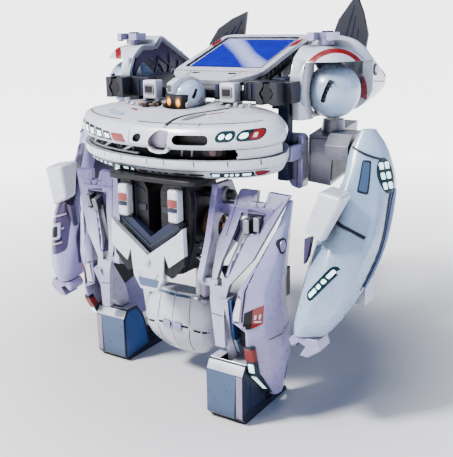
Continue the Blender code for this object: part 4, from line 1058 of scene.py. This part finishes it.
FOREARM = [
    (126.5, ((79.5, 38), (83, 38), (85, 41), (85, 45), (82, 46), (79.5, 44))),
    (118, ((76.2, 33.5), (83, 33), (89, 38), (91, 46), (84, 52), (76.2, 50))),
    (105, ((76.2, 27), (81, 23), (90, 34), (95, 46), (87, 56), (76.2, 52))),
    (92, ((72, 18), (82, 14), (93, 28), (96, 42), (88, 52), (73, 46))),
    (77, ((71, 9), (82, 3), (94, 14), (97, 30), (89, 40), (72, 36))),
    (62, ((70, 2), (79, -4), (92, 5), (93, 22), (85, 30), (71, 26))),
    (50, ((69.5, -4), (75, -9), (87, -2), (88, 10), (80, 18), (70, 14))),
    (44, ((70, -6), (74, -9), (83, -4), (84, 4), (78, 9), (71, 7))),
]


def make_forearm(side, word):
    place = forearm_place(side)
    body = word + "_forearm"
    # painted shade: the far forearm's shell takes the darker lilac where the near one takes pearl
    shell = piece(word + "_forearm_moulding", lofted(FOREARM, 3.0), place, body, "pearl" if side > 0 else "lilac",
                  word + "_forearm_shell", angle=50)
    carve(shell, [turned([(70.0, 2.4), (79.6, 2.4)], "x", ELBOW[1:])], place)
    skin = surface(shell)
    seam_high = stroke([(78.0, 119.6), (83.0, 117.6), (90.0, 114.4)], 0.6)
    seam_mid = stroke([(78.6, 91.8), (84.0, 88.6), (92.0, 83.6)], 0.9)
    inlay(word + "_forearm_seams", [seam_high, seam_mid], "-y", place, skin, body, "ink", 0.5, grid=0.5)
    if side > 0:
        near_forearm_lights(place, skin, body, word)
    else:
        far_forearm_wall(place, skin, body, word)
    forearm_flank(place, skin, body, word)
    socket = rounded([(82.0, 53.0), (89.6, 53.0), (89.6, 61.0), (82.0, 61.0)], 0.8)
    cube = piece(word + "_forearm_socket", box((80, 22, 51), (91.5, 33.0, 63)), place, body, "white")
    carve(cube, [prism(socket, "y", 29.0, 36.0)], place, "navy")
    add_bevel(cube, 0.8, 3)
    strut = prism(rounded([(70.4, 84.0), (73.6, 85.0), (72.0, 76.0), (70.2, 72.0)], 0.6), "y", 3.4, 6.6)
    piece(word + "_forearm_strut", strut, place, body, "purple", bevel=0.3)
    top = [(75.6, 5.5, 105), (87, 4.5, 103.4), (87, 16, 103.4), (75.6, 19, 105)]
    bottom = [(71, 1.5, 88), (79.5, -0.5, 84), (80.5, 4.4, 84), (71, 9.5, 88)]
    piece(word + "_flap_moulding", loft([bottom, top]), place, body, "white", word + "_elbow_flap", bevel=1.6,
          segments=4)
    recast(word + "_wrist_claw", body, "skirt", 0.5)
    fingers = [box((70.4, -6.4, 38.2), (72.2, 2.4, 41.0)), box((80.6, -6.4, 37.0), (82.6, 2.4, 42.6))]
    piece(word + "_claw_pads", fingers, place, body, "mauve", bevel=0.4)


def near_forearm_lights(place, skin, body, word):
    """The slanting light capsule, the window panel and the round port on the near forearm."""
    panel = rounded([(84.6, 101.5), (88.4, 100.0), (87.0, 114.0), (84.0, 114.6)], 0.8)
    inlay(word + "_forearm_panel_edge", [panel], "-y", place, skin, body, "ink", 0.10)
    panel = rounded([(85.0, 102.2), (87.8, 101.0), (86.6, 113.4), (84.4, 113.8)], 0.6)
    inlay(word + "_forearm_panel", [panel], "-y", place, skin, body, "blue", 0.22)
    lean = turn(-52, "Y").to_3x3()

    def slanted(outline):
        spots = [lean @ Vector((a, 0, b)) for a, b in outline]
        return [(80.7 + spot.x, 66.6 + spot.z) for spot in spots]
    inlay(word + "_forearm_lamp_frame", [slanted(capsule(-8.6, 8.6, -2.1, 2.1))], "-y", place, skin, body, "teal",
          0.14, grid=1.0)
    spans = ((-7.2, -3.0), (-2.2, -0.4), (0.6, 2.4), (3.4, 7.0))
    glow_shapes = [slanted(rounded(slab(low, high, -0.9, 0.9), 0.5)) for low, high in spans]
    inlay(word + "_forearm_painted_glow", glow_shapes, "-y", place, skin, body, "lamp", 0.3, grid=1.0)
    cluster = circle(4.4, (39.6, 107.0), 28, 1.8)
    inlay(word + "_forearm_port", [cluster], "x", place, skin, body, "teal", 0.14)
    cells = []
    for row in range(3):
        for column in range(2):
            y, z = 38.0 + 3.2 * column, 102.6 + 4.4 * row
            cells.append(rounded([(y - 1.1, z - 1.5), (y + 1.1, z - 1.5), (y + 1.1, z + 1.5), (y - 1.1, z + 1.5)], 0.7))
    inlay(word + "_forearm_port_painted_glow", cells, "x", place, skin, body, "lamp", 0.3, grid=1.0)


def far_forearm_wall(place, skin, body, word):
    """The ribbed dark wall that faces forward on the far forearm, with its square socket."""
    wall = rounded([(73.4, 60.0), (84.0, 56.0), (91.5, 80.0), (88.0, 108.0), (79.0, 112.0), (75.0, 84.0)], 2.0)
    inlay(word + "_forearm_front_wall", [wall], "-y", place, skin, body, "purple", 0.3, grid=2.0)
    ribs = [stroke([(76.0 + 0.4 * i, 64.0 + 7.0 * i), (87.0 + 0.4 * i, 61.0 + 7.0 * i)], 0.9) for i in range(6)]
    inlay(word + "_forearm_front_ribs", ribs, "-y", place, skin, body, "mauve", 0.8)
    frame = rounded([(77.0, 66.0), (84.0, 64.0), (85.4, 72.0), (78.4, 74.0)], 0.8)
    inlay(word + "_forearm_front_socket", [frame], "-y", place, skin, body, "lilac", 1.4)
    hole = rounded([(78.6, 67.2), (82.8, 66.0), (83.8, 70.8), (79.6, 72.2)], 0.5)
    inlay(word + "_forearm_front_hole", [hole], "-y", place, skin, body, "black", 1.6)


def forearm_flank(place, skin, body, word):
    """The dark rail along the outer flank and the ribbed wall that faces the body."""
    rail = smooth_rows([(45.0, 100.0), (38.0, 89.0), (28.0, 76.0), (18.0, 61.0)], 5)
    inlay(word + "_forearm_rail", [stroke(rail, 4.4)], "x", place, skin, body, "deep_blue", 0.5)
    edge = smooth_rows([(41.0, 100.0), (34.0, 89.0), (24.0, 76.0), (14.0, 61.0)], 5)
    inlay(word + "_forearm_rail_edge", [stroke(edge, 1.2)], "x", place, skin, body, "ink", 0.12)
    wall = rounded([(16.0, 84.0), (30.0, 100.0), (46.0, 112.0), (48.0, 100.0), (36.0, 80.0), (14.0, 56.0), (2.0, 50.0),
                    (4.0, 66.0)], 3.0)
    inlay(word + "_forearm_inner_wall", [wall], "-x", place, skin, body, "purple", 0.3, grid=2.0)
    ribs = [stroke([(5.0 + 6.2 * i, 58.0 + 8.6 * i), (12.0 + 6.2 * i, 54.6 + 8.6 * i)], 0.9) for i in range(6)]
    inlay(word + "_forearm_inner_ribs", ribs, "-x", place, skin, body, "grey", 0.9)


# ---------------------------------------------------------------- waist, belly and gears

def make_waist():
    for side, word in SIDES:
        place = body_place(side)
        recast(word + "_waist_tower", "torso", "black", 0.8)
        tower = surface(bpy.data.objects[word + "_waist_tower_moulding"])
        ribs = [stroke([(5.4, 99.0), (10.6, 102.0), (10.6, 66.0), (6.4, 63.0)], 0.7)]
        inlay(word + "_tower_ridges", ribs, "-y", place, tower, "torso", "purple", 0.4)
        steps = [rounded(slab(4.6, 9.4, z, z + 3.0, 0.0), 0.6) for z in (72.0, 78.0, 90.0)]
        inlay(word + "_tower_plates", steps, "-y", place, tower, "torso", "charcoal", 0.6)
        side_lines = [stroke([(-6.0, 64.0), (-6.0, 101.0)], 0.6), stroke([(8.0, 66.0), (8.0, 98.0)], 0.6)]
        inlay(word + "_tower_side_ribs", side_lines, "x", place, tower, "torso", "purple", 0.4)
        recast(word + "_waist_strap", "torso", "white", 0.9, 3)
        strap = surface(bpy.data.objects[word + "_waist_strap_moulding"])
        inlay(word + "_strap_red_band", [slab(10.6, 18.2, 94.8, 98.2)], "-y", place, strap, "torso", "red", 0.35)
        inlay(word + "_strap_dark_band", [slab(10.6, 18.2, 92.6, 94.4)], "-y", place, strap, "torso", "navy", 0.35)
        fittings = [box((11.0, -12.6, 85.6), (17.8, -9.7, 87.6)), box((11.4, -12.2, 102.4), (17.4, -9.7, 104.4))]
        piece(word + "_strap_fittings", fittings, place, "torso", "charcoal", bevel=0.35)
        clips = [hoop([(22.0, 1.5), (22.0, 2.3), (23.0, 2.3), (23.0, 1.5)], "x", (-4.0, z), 24) for z in (70.0, 76.0)]
        posts = [turned([(19.4, 1.2), (22.6, 1.2)], "x", (-4.0, z), 20) for z in (70.0, 76.0)]
        piece(word + "_tower_clips", clips + posts, place, "torso", "steel")
    place = body_place()
    # painted shade: a black plate under the chest stands in for the shade beneath it
    under = rounded([(-25, -14), (25, -14), (25, 14), (-25, 14)], 5.0)
    piece("chest_under_painted_shade", prism(under, "z", 104.4, 107.0), place, "torso", "black", bevel=0.6)
    recast("crotch_plate", "torso", "white", 0.5)
    plate = surface(bpy.data.objects["crotch_plate_moulding"])
    seams = [stroke([(s * 1.2, 56.0), (s * 6.0, 62.0)], 0.35) for s in (-1, 1)]
    seams += [stroke([(s * 6.0, 76.6), (s * 18.6, 84.4)], 0.4) for s in (-1, 1)]
    inlay("crotch_seams", seams, "-y", place, plate, "torso", "ink", 0.05)
    tip = rounded([(-5.0, 55.4), (5.0, 55.4), (6.2, 59.4), (-6.2, 59.4)], 0.8)
    inlay("crotch_blue_tip", [tip], "-y", place, plate, "torso", "blue", 0.08)
    horns = [prism(rounded([(s * 9.2, 72.0), (s * 12.0, 66.6), (s * 20.6, 73.0), (s * 20.0, 68.6), (s * 13.0, 60.8),
                            (s * 9.0, 62.6)], 0.8), "y", -15.2, -13.4) for s in (-1, 1)]
    piece("crotch_horns", horns, place, "torso", "black", bevel=0.35)
    recast("crotch_trough", "torso", "navy", 0.3)
    edge = [stroke([(-17.4, 86.0), (0, 74.2), (17.4, 86.0)], 1.0)]
    trough = surface(bpy.data.objects["crotch_trough_moulding"])
    inlay("trough_teal_edge", edge, "-y", place, trough, "torso", "teal", 0.35)
    bed = [prism([(s * 0.2, 72.4), (s * 10.4, 80.0), (s * 10.4, 84.0), (s * 0.2, 76.4)], "y", -9.7, -9.2) for s in (-1, 1)]
    piece("trough_bed", bed, place, "torso", "bronze")
    make_belly()
    make_gears()


def make_belly():
    for side, word in SIDES:
        place = body_place(side)
        rings = []
        for z, half, front, back in smooth_rows([(46, 16.5, 5.0, 15), (42, 19.5, 2.6, 17.5), (30, 20.6, 0.4, 18.5),
                                                 (21, 18.6, 2.6, 17.5), (13, 12.5, 8.6, 15.5)], 5):
            corners = [(0.15, front), (half * 0.75, front + 0.8), (half, front + 4.6), (half, back - 3),
                       (half * 0.8, back), (0.15, back)]
            soft = rounded(corners[1:5], 2.0)
            rings.append([(x, y, z) for x, y in [corners[0]] + soft[2:-2] + [corners[5]]])
        shell = piece(word + "_belly_moulding", [loft(rings), turned([(45.0, 2.6), (59.4, 2.6)], "z", (12.0, 9.0))],
                      place, "torso", "white", word + "_belly_shell", angle=40)
        skin = surface(shell)
        lines = [stroke([(0.4, 30.4), (9.0, 30.0)], 1.1), stroke([(12.0, 29.0), (19.4, 28.4)], 1.1)]
        inlay(word + "_belly_slots", lines, "-y", place, skin, "torso", "black", 0.06)
        inlay(word + "_belly_top_edge", [stroke([(0.4, 44.6), (16.8, 44.6)], 1.0)], "-y", place, skin, "torso", "blue",
              0.10)
        seams = [stroke([(9.0, 43.6), (9.6, 31.4)], 0.35), stroke([(9.8, 28.8), (7.4, 14.6)], 0.35)]
        inlay(word + "_belly_seams", seams, "-y", place, skin, "torso", "ink", 0.05)
        inlay(word + "_belly_lug", [rounded(slab(1.0, 5.4, 28.2, 31.8, 0.0), 0.7)], "-y", place, skin, "torso",
              "lilac", 0.9)
        inlay(word + "_belly_side_seam", [stroke([(4.0, 30.0), (17.0, 30.0)], 0.5)], "x", place, skin, "torso", "ink",
              0.06)
        tubes = [turned([(44.0, 2.1), (61.0, 2.1)], "z", (17.6, 4.6), 24)]
        piece(word + "_waist_tube", tubes, place, "torso", "mauve")
        cuffs = [hoop([(z, 2.1), (z, 2.8), (z + 1.4, 2.8), (z + 1.4, 2.1)], "z", (17.6, 4.6), 24) for z in (46.0, 56.0)]
        piece(word + "_waist_tube_cuffs", cuffs, place, "torso", "purple")


def make_gears():
    place = body_place()
    recast("motor_can", "torso", "steel", 0.3)
    recast("motor_pinion", "pinion", "steel", 0)
    recast("double_wheel", "gear_pair", "bronze", 0)
    recast("crank_axle", "crank", "bronze", 0)
    for side, word in SIDES:
        place = body_place(side)
        rim = hoop([(23.9, 5.4), (23.9, 8.0), (24.6, 7.6), (24.6, 5.8)], "x", (6.0, 84.0), 48)
        spokes = [turned([(23.9, 1.0), (24.6, 0.8)], "x",
                         (6 + 3.6 * math.cos(t), 84 + 3.6 * math.sin(t)), 16)
                  for t in (1.2, 2.4, 3.9, 5.4)]
        piece(word + "_crank_rim", [rim] + spokes, place, "crank", "bronze", bevel=0.15)


# ---------------------------------------------------------------- legs and feet

LEG_SHELL = [
    (98, ((59.2, 9.6), (60.2, 7.8), (61.4, 8.4), (61.6, 10), (60.4, 12), (59.0, 11.6), (59.0, 10.6))),
    (86, ((57.2, 2.6), (58.4, 0.0), (61.4, 1.6), (61.6, 6), (59.6, 12), (57.2, 12), (57.2, 8))),
    (74, ((53.0, -5.4), (55.0, -7.6), (60.4, -4), (61.6, 3), (58.6, 12), (52.6, 12), (52.6, 4))),
    (62, ((47.6, -13.6), (50, -15.6), (58.6, -11), (61.8, -1), (58, 11), (49.6, 14), (48.6, 2))),
    (52, ((46.4, -17.2), (51, -18.0), (59.6, -12), (62.0, -1), (57.6, 12), (49.6, 16), (48.0, 2))),
    (48, ((47.0, -18.2), (51.4, -18.4), (59.8, -12), (62.1, -1), (57.8, 12.4), (49.8, 16.4), (48.4, 2))),
    (45, ((53.6, -18.5), (55.0, -18.5), (60.0, -12), (62.3, -1), (58, 13), (50.0, 17), (53.6, 2))),
    (39, ((53.8, -18.4), (55.4, -18.4), (60.4, -12), (62.8, -1), (58.6, 13), (50.6, 17), (53.8, 2))),
    (24, ((53.8, -14.4), (55.4, -15.0), (60.6, -9), (62.8, 0), (59, 14), (48.0, 17), (53.8, 6))),
    (7, ((53.8, 2.0), (55.0, 1.4), (57.4, 2.4), (58.4, 6), (56, 13), (48.4, 15), (53.8, 7))),
]


def edge_strip(levels):
    """A bar down the front lower edge of a leg's shell: height, and the outline's two x values and front y."""
    return loft([[(x0, front, z), (x1, front + 0.3, z), (x1 + 0.4, front + 3.4, z), (x0, front + 3.4, z)]
                 for z, x0, x1, front in levels])


def make_leg(side, word):
    place = leg_place(side)
    body = word + "_leg"
    rings = [[(x, y, z) for x, y in rounded(corners, 0.9, 3)] for z, corners in LEG_SHELL]
    shell = piece(word + "_leg_moulding", loft(rings), place, body, "skirt", word + "_leg_shell", angle=28)
    skin = surface(shell)
    crease = [stroke([(60.2, 97.0), (57.8, 86.0), (54.4, 74.0), (51.6, 62.0), (51.8, 49.0)], 0.6)]
    inlay(word + "_leg_crease", crease, "-y", place, skin, body, "ink", 0.06)
    bars = [stroke([(46.6, z), (50.6, z)], 0.4) for z in (59.5, 48.6)]
    inlay(word + "_leg_bars", bars, "-y", place, skin, body, "ink", 0.06)
    panel = rounded([(47.4, 49.4), (50.8, 49.4), (50.8, 58.6), (48.6, 59.0)], 0.7)
    inlay(word + "_leg_panel", [panel], "-y", place, skin, body, "white", 0.5)
    inlay(word + "_leg_roundel", [circle(2.8, (1.0, 80.0), 28, 1.3)], "x", place, skin, body, "ink", 0.3, grid=0.8)
    inlay(word + "_leg_roundel_middle", [circle(1.9, (1.0, 80.0), 28, 1.4)], "x", place, skin, body, "lilac", 0.5, grid=0.8)
    inlay(word + "_leg_black_base", [rounded([(52.4, 46.2), (55.6, 46.4), (55.6, 54.6), (52.4, 53.0)], 0.4)], "-y",
          place, skin, body, "black", 0.10)
    inlay(word + "_leg_red_wedge", [rounded([(55.4, 46.4), (59.2, 48.0), (59.2, 56.4), (55.4, 54.4)], 0.4)], "-y",
          place, skin, body, "red", 0.16)
    bits = [slab(56.2, 58.6, 48.8, 49.5, 0.2), slab(56.2, 56.9, 50.2, 52.2, 0.2), slab(57.8, 58.5, 50.4, 52.4, 0.2)]
    inlay(word + "_leg_marks", bits, "-y", place, skin, body, "white", 0.28, grid=0.8)
    seams = [stroke([(-10.0, 40.0), (14.0, 40.5)], 0.45), stroke([(-6.0, 66.0), (10.0, 68.0)], 0.4),
             stroke([(6.0, 40.5), (10.0, 12.0)], 0.4)]
    inlay(word + "_leg_side_seams", seams, "x", place, skin, body, "ink", 0.06)
    vent = rounded([(12.0, 52.0), (16.4, 52.0), (16.4, 66.0), (12.0, 64.0)], 0.8)
    piece(word + "_leg_back_pack", prism(vent, "x", 50.0, 57.0), place, body, "navy", bevel=0.5)
    bed = edge_strip([(9.0, 53.4, 56.6, -0.9), (24.0, 53.4, 57.4, -15.7), (38.6, 53.4, 57.0, -18.9)])
    piece(word + "_leg_light_bed", bed, place, body, "teal", bevel=0.3)
    red = edge_strip([(31.0, 53.2, 57.2, -17.5), (37.4, 53.2, 57.2, -19.0)])
    piece(word + "_leg_strip_red", red, place, body, "red", bevel=0.3)
    glow_shapes = [edge_strip([(25.2, 54.2, 56.8, -16.2), (29.8, 54.2, 56.8, -17.4)]),
             edge_strip([(12.6, 54.4, 56.2, -4.9), (22.8, 54.4, 56.8, -15.0)])]
    piece(word + "_leg_strip_painted_glow", glow_shapes, place, body, "lamp", bevel=0.25)
    recast(word + "_leg_frame", body, "frame", 0.45)
    rails = surface(bpy.data.objects[word + "_leg_frame_moulding"])
    recess = [(43.8, 94.2), (53.0, 93.0), (52.2, 85.0), (46.2, 83.0), (42.0, 67.0), (39.2, 64.0), (39.6, 69.0)]
    inlay(word + "_frame_recess", [recess], "-y", place, rails, body, "purple", 0.12)
    seams = [stroke([(44.2, 100.4), (44.2, 97.4), (52.6, 97.2), (53.0, 100.2)], 0.35),
             stroke([(37.2, 98.6), (35.6, 82.0)], 0.35), stroke([(43.0, 49.6), (36.2, 50.4)], 0.35)]
    inlay(word + "_frame_seams", seams, "-y", place, rails, body, "ink", 0.06)
    clips = [box((44.0, -4.2, 84.0), (47.2, 1.6, 90.6)), box((48.8, -3.4, 85.4), (51.8, 1.8, 91.8))]
    piece(word + "_frame_clips", clips, place, body, "silver", bevel=0.6)
    channel = prism(rounded([(40.4, 84.0), (43.0, 84.0), (41.6, 66.0), (40.0, 62.4), (37.8, 62.4), (38.6, 68.0)], 0.6),
                    "y", -8.0, -6.2)
    rod = [stroke([(44.6, 86.0), (38.4, 64.0)], 3.0)]
    rod_points, rod_faces = prism(rod[0], "y", 0.0, 2.0)
    tilted = [(x, y - 9.4 + (z - 64.0) * 0.36, z) for x, y, z in rod_points]
    piece(word + "_frame_channel", [(tilted, rod_faces)], place, body, "grey", bevel=0.3)
    blue = prism(rounded([(-17.2, 57.6), (-14.4, 57.6), (-8.0, 32.0), (-10.6, 31.0), (-15.0, 40.0)], 0.8), "x", 44.7, 46.0)
    piece(word + "_shank_blue_strip", blue, place, body, "deep_blue", bevel=0.3)
    low = prism(rounded([(-14.2, 38.0), (-9.4, 38.0), (-8.4, 31.0), (-10.8, 30.6)], 0.6), "x", 44.9, 46.4)
    piece(word + "_shank_pale_strip", low, place, body, "pearl", bevel=0.3)
    # painted shade: a black wall inside the shank stands in for the shade between frame and shell
    wall = prism(rounded([(-13.0, 50.0), (14.0, 50.0), (12.0, 34.0), (-11.0, 34.0)], 1.0), "x", 47.4, 50.0)
    piece(word + "_shank_painted_shade_wall", wall, place, body, "black", bevel=0.4)
    hub = turned([(30.1, 3.6), (31.6, 3.4), (32.0, 2.4)], "x", HIP[1:], 36)
    piece(word + "_hip_hub", hub, place, body, "grey")
    make_foot(side, word)


def make_foot(side, word):
    place = foot_place(side)
    body = word + "_boot"
    recast(word + "_foot", body, "navy", 0.7, 3)
    sole = surface(bpy.data.objects[word + "_foot_moulding"])
    front = rounded([(34.4, 1.0), (48.6, 1.0), (49.6, 24.0), (34.4, 24.0)], 0.5)
    inlay(word + "_foot_front", [front], "-y", place, sole, body, "blue", 0.14, grid=2.0)
    inlay(word + "_foot_top_front", [[(34.3, -19.9), (52.9, -19.9), (52.9, -16.6), (34.3, -16.6)]], "z", place, sole,
          body, "white", 0.14, grid=1.0)
    caps = [[(34.3, -16.6), (39.0, -16.6), (39.0, -9.0), (34.3, -9.0)], [(45.4, -16.6), (52.9, -16.6), (52.9, -9.0),
                                                                      (45.4, -9.0)]]
    inlay(word + "_foot_top", caps, "z", place, sole, body, "white", 0.14, grid=1.0)
    bevel_edge = [[(49.8, 1.4), (52.9, 1.4), (52.9, 23.8), (49.8, 23.8)]]
    inlay(word + "_foot_edge", bevel_edge, "-y", place, sole, body, "mauve", 0.14, grid=2.0)
    inside = [rounded([(-19.0, 2.0), (-19.0, 23.4), (-16.0, 27.4), (-10.0, 27.0), (-5.4, 21.0), (-2.6, 11.0), (-1.6, 4.0)],
                      0.8)]
    inlay(word + "_foot_inner_plate", inside, "-x", place, sole, body, "deep_blue", 0.2, grid=2.0)
    seam = [stroke([(-19.6, 4.6), (-0.6, 4.6)], 0.4), stroke([(-15.0, 4.8), (-12.0, 27.0)], 0.4)]
    inlay(word + "_foot_side_seams", seam, "x", place, sole, body, "black", 0.06)
    ribs = [stroke([(34.6, y), (52.4, y)], 0.9) for y in (4.0, 8.0, 12.0, 16.0)]
    inlay(word + "_foot_heel_treads", ribs, "z", place, sole, body, "charcoal", 0.35, grid=2.0)
    piece(word + "_ankle_pin", [turned([(38.4, 1.45), (45.9, 1.45)], "x", (-7.665, 16.0), 24)], place, body, "steel")


# ---------------------------------------------------------------- stage

def lamp(name, azimuth, elevation, distance, size, power, colour):
    data = bpy.data.lights.new(name, "AREA")
    data.energy, data.size, data.color = power, size, colour
    obj = bpy.data.objects.new(name, data)
    aim = Vector((0, 0, 0.09))
    obj.location = aim + toward(azimuth, elevation) * distance
    obj.rotation_mode = "QUATERNION"
    obj.rotation_quaternion = (aim - obj.location).to_track_quat("-Z", "Y")
    bpy.context.scene.collection.objects.link(obj)


def make_stage():
    mesh = mesh_of("floor", [box((-60000, -60000, -2.0), (60000, 60000, -0.02))], UNITS)
    floor = bpy.data.objects.new("floor", mesh)
    pale = bpy.data.materials.new("pale_floor")
    pale.use_nodes = True
    shader = pale.node_tree.nodes["Principled BSDF"]
    shader.inputs["Base Color"].default_value = (0.60, 0.60, 0.62, 1)
    shader.inputs["Roughness"].default_value = 0.9
    tree = pale.node_tree
    place = node(tree, "NewGeometry").outputs["Position"]
    away = node(tree, "VectorMath", operation="LENGTH")
    tree.links.new(place, away.inputs[0])
    shader.inputs["Emission Color"].default_value = (1, 1, 1, 1)
    # painted shade: the floor's glow rises with distance from the robot, leaving a darker pool round its feet
    tree.links.new(spread(tree, away.outputs["Value"], 0.0, FAR_GLOW, 0.08, 0.60), shader.inputs["Emission Strength"])
    mesh.materials.append(pale)
    bpy.context.scene.collection.objects.link(floor)
    world = bpy.data.worlds.new("studio")
    world.use_nodes = True
    tree = world.node_tree
    sky = tree.nodes["Background"]
    split = node(tree, "SeparateXYZ")
    tree.links.new(node(tree, "TexCoord").outputs["Generated"], split.inputs["Vector"])
    band = spread(tree, split.outputs["Z"], 1.0, 0.0, 0.05, 0.10)
    tree.links.new(blended(tree, band, (0.66, 0.76, 1.0), (1.0, 1.0, 1.0)), sky.inputs["Color"])
    tree.links.new(spread(tree, split.outputs["Z"], FAR_GLOW, SKY_GLOW, 0.05, 0.10), sky.inputs["Strength"])
    bpy.context.scene.world = world
    lamp("key", -36, 46, 0.9, 0.16, 22.0, (1.0, 0.98, 0.96))
    lamp("top", 10, 78, 0.9, 0.4, 3.0, (1.0, 0.99, 0.98))
    lamp("side", 100, 24, 0.9, 0.3, 2.4, (0.26, 0.46, 1.0))
    data = bpy.data.cameras.new("camera")
    data.lens, data.sensor_width = LENS, 36.0
    data.clip_start, data.clip_end = 0.01, 20.0
    camera = bpy.data.objects.new("camera", data)
    back = toward(AZIMUTH, ELEVATION)
    camera.location = Vector(AIM) * MM + back * DISTANCE * MM
    level = (-back).to_track_quat("-Z", "Y").to_matrix()
    camera.rotation_euler = (level @ Matrix.Rotation(math.radians(ROLL), 3, "Z")).to_euler()
    bpy.context.scene.collection.objects.link(camera)
    bpy.context.scene.camera = camera


def main():
    make_chest()
    make_head()
    make_connectors()
    make_module()
    make_spine()
    for side, word in SIDES:
        make_pod(side, word)
        make_arm(side, word)
        make_forearm(side, word)
        make_leg(side, word)
    make_waist()
    make_stage()


main()
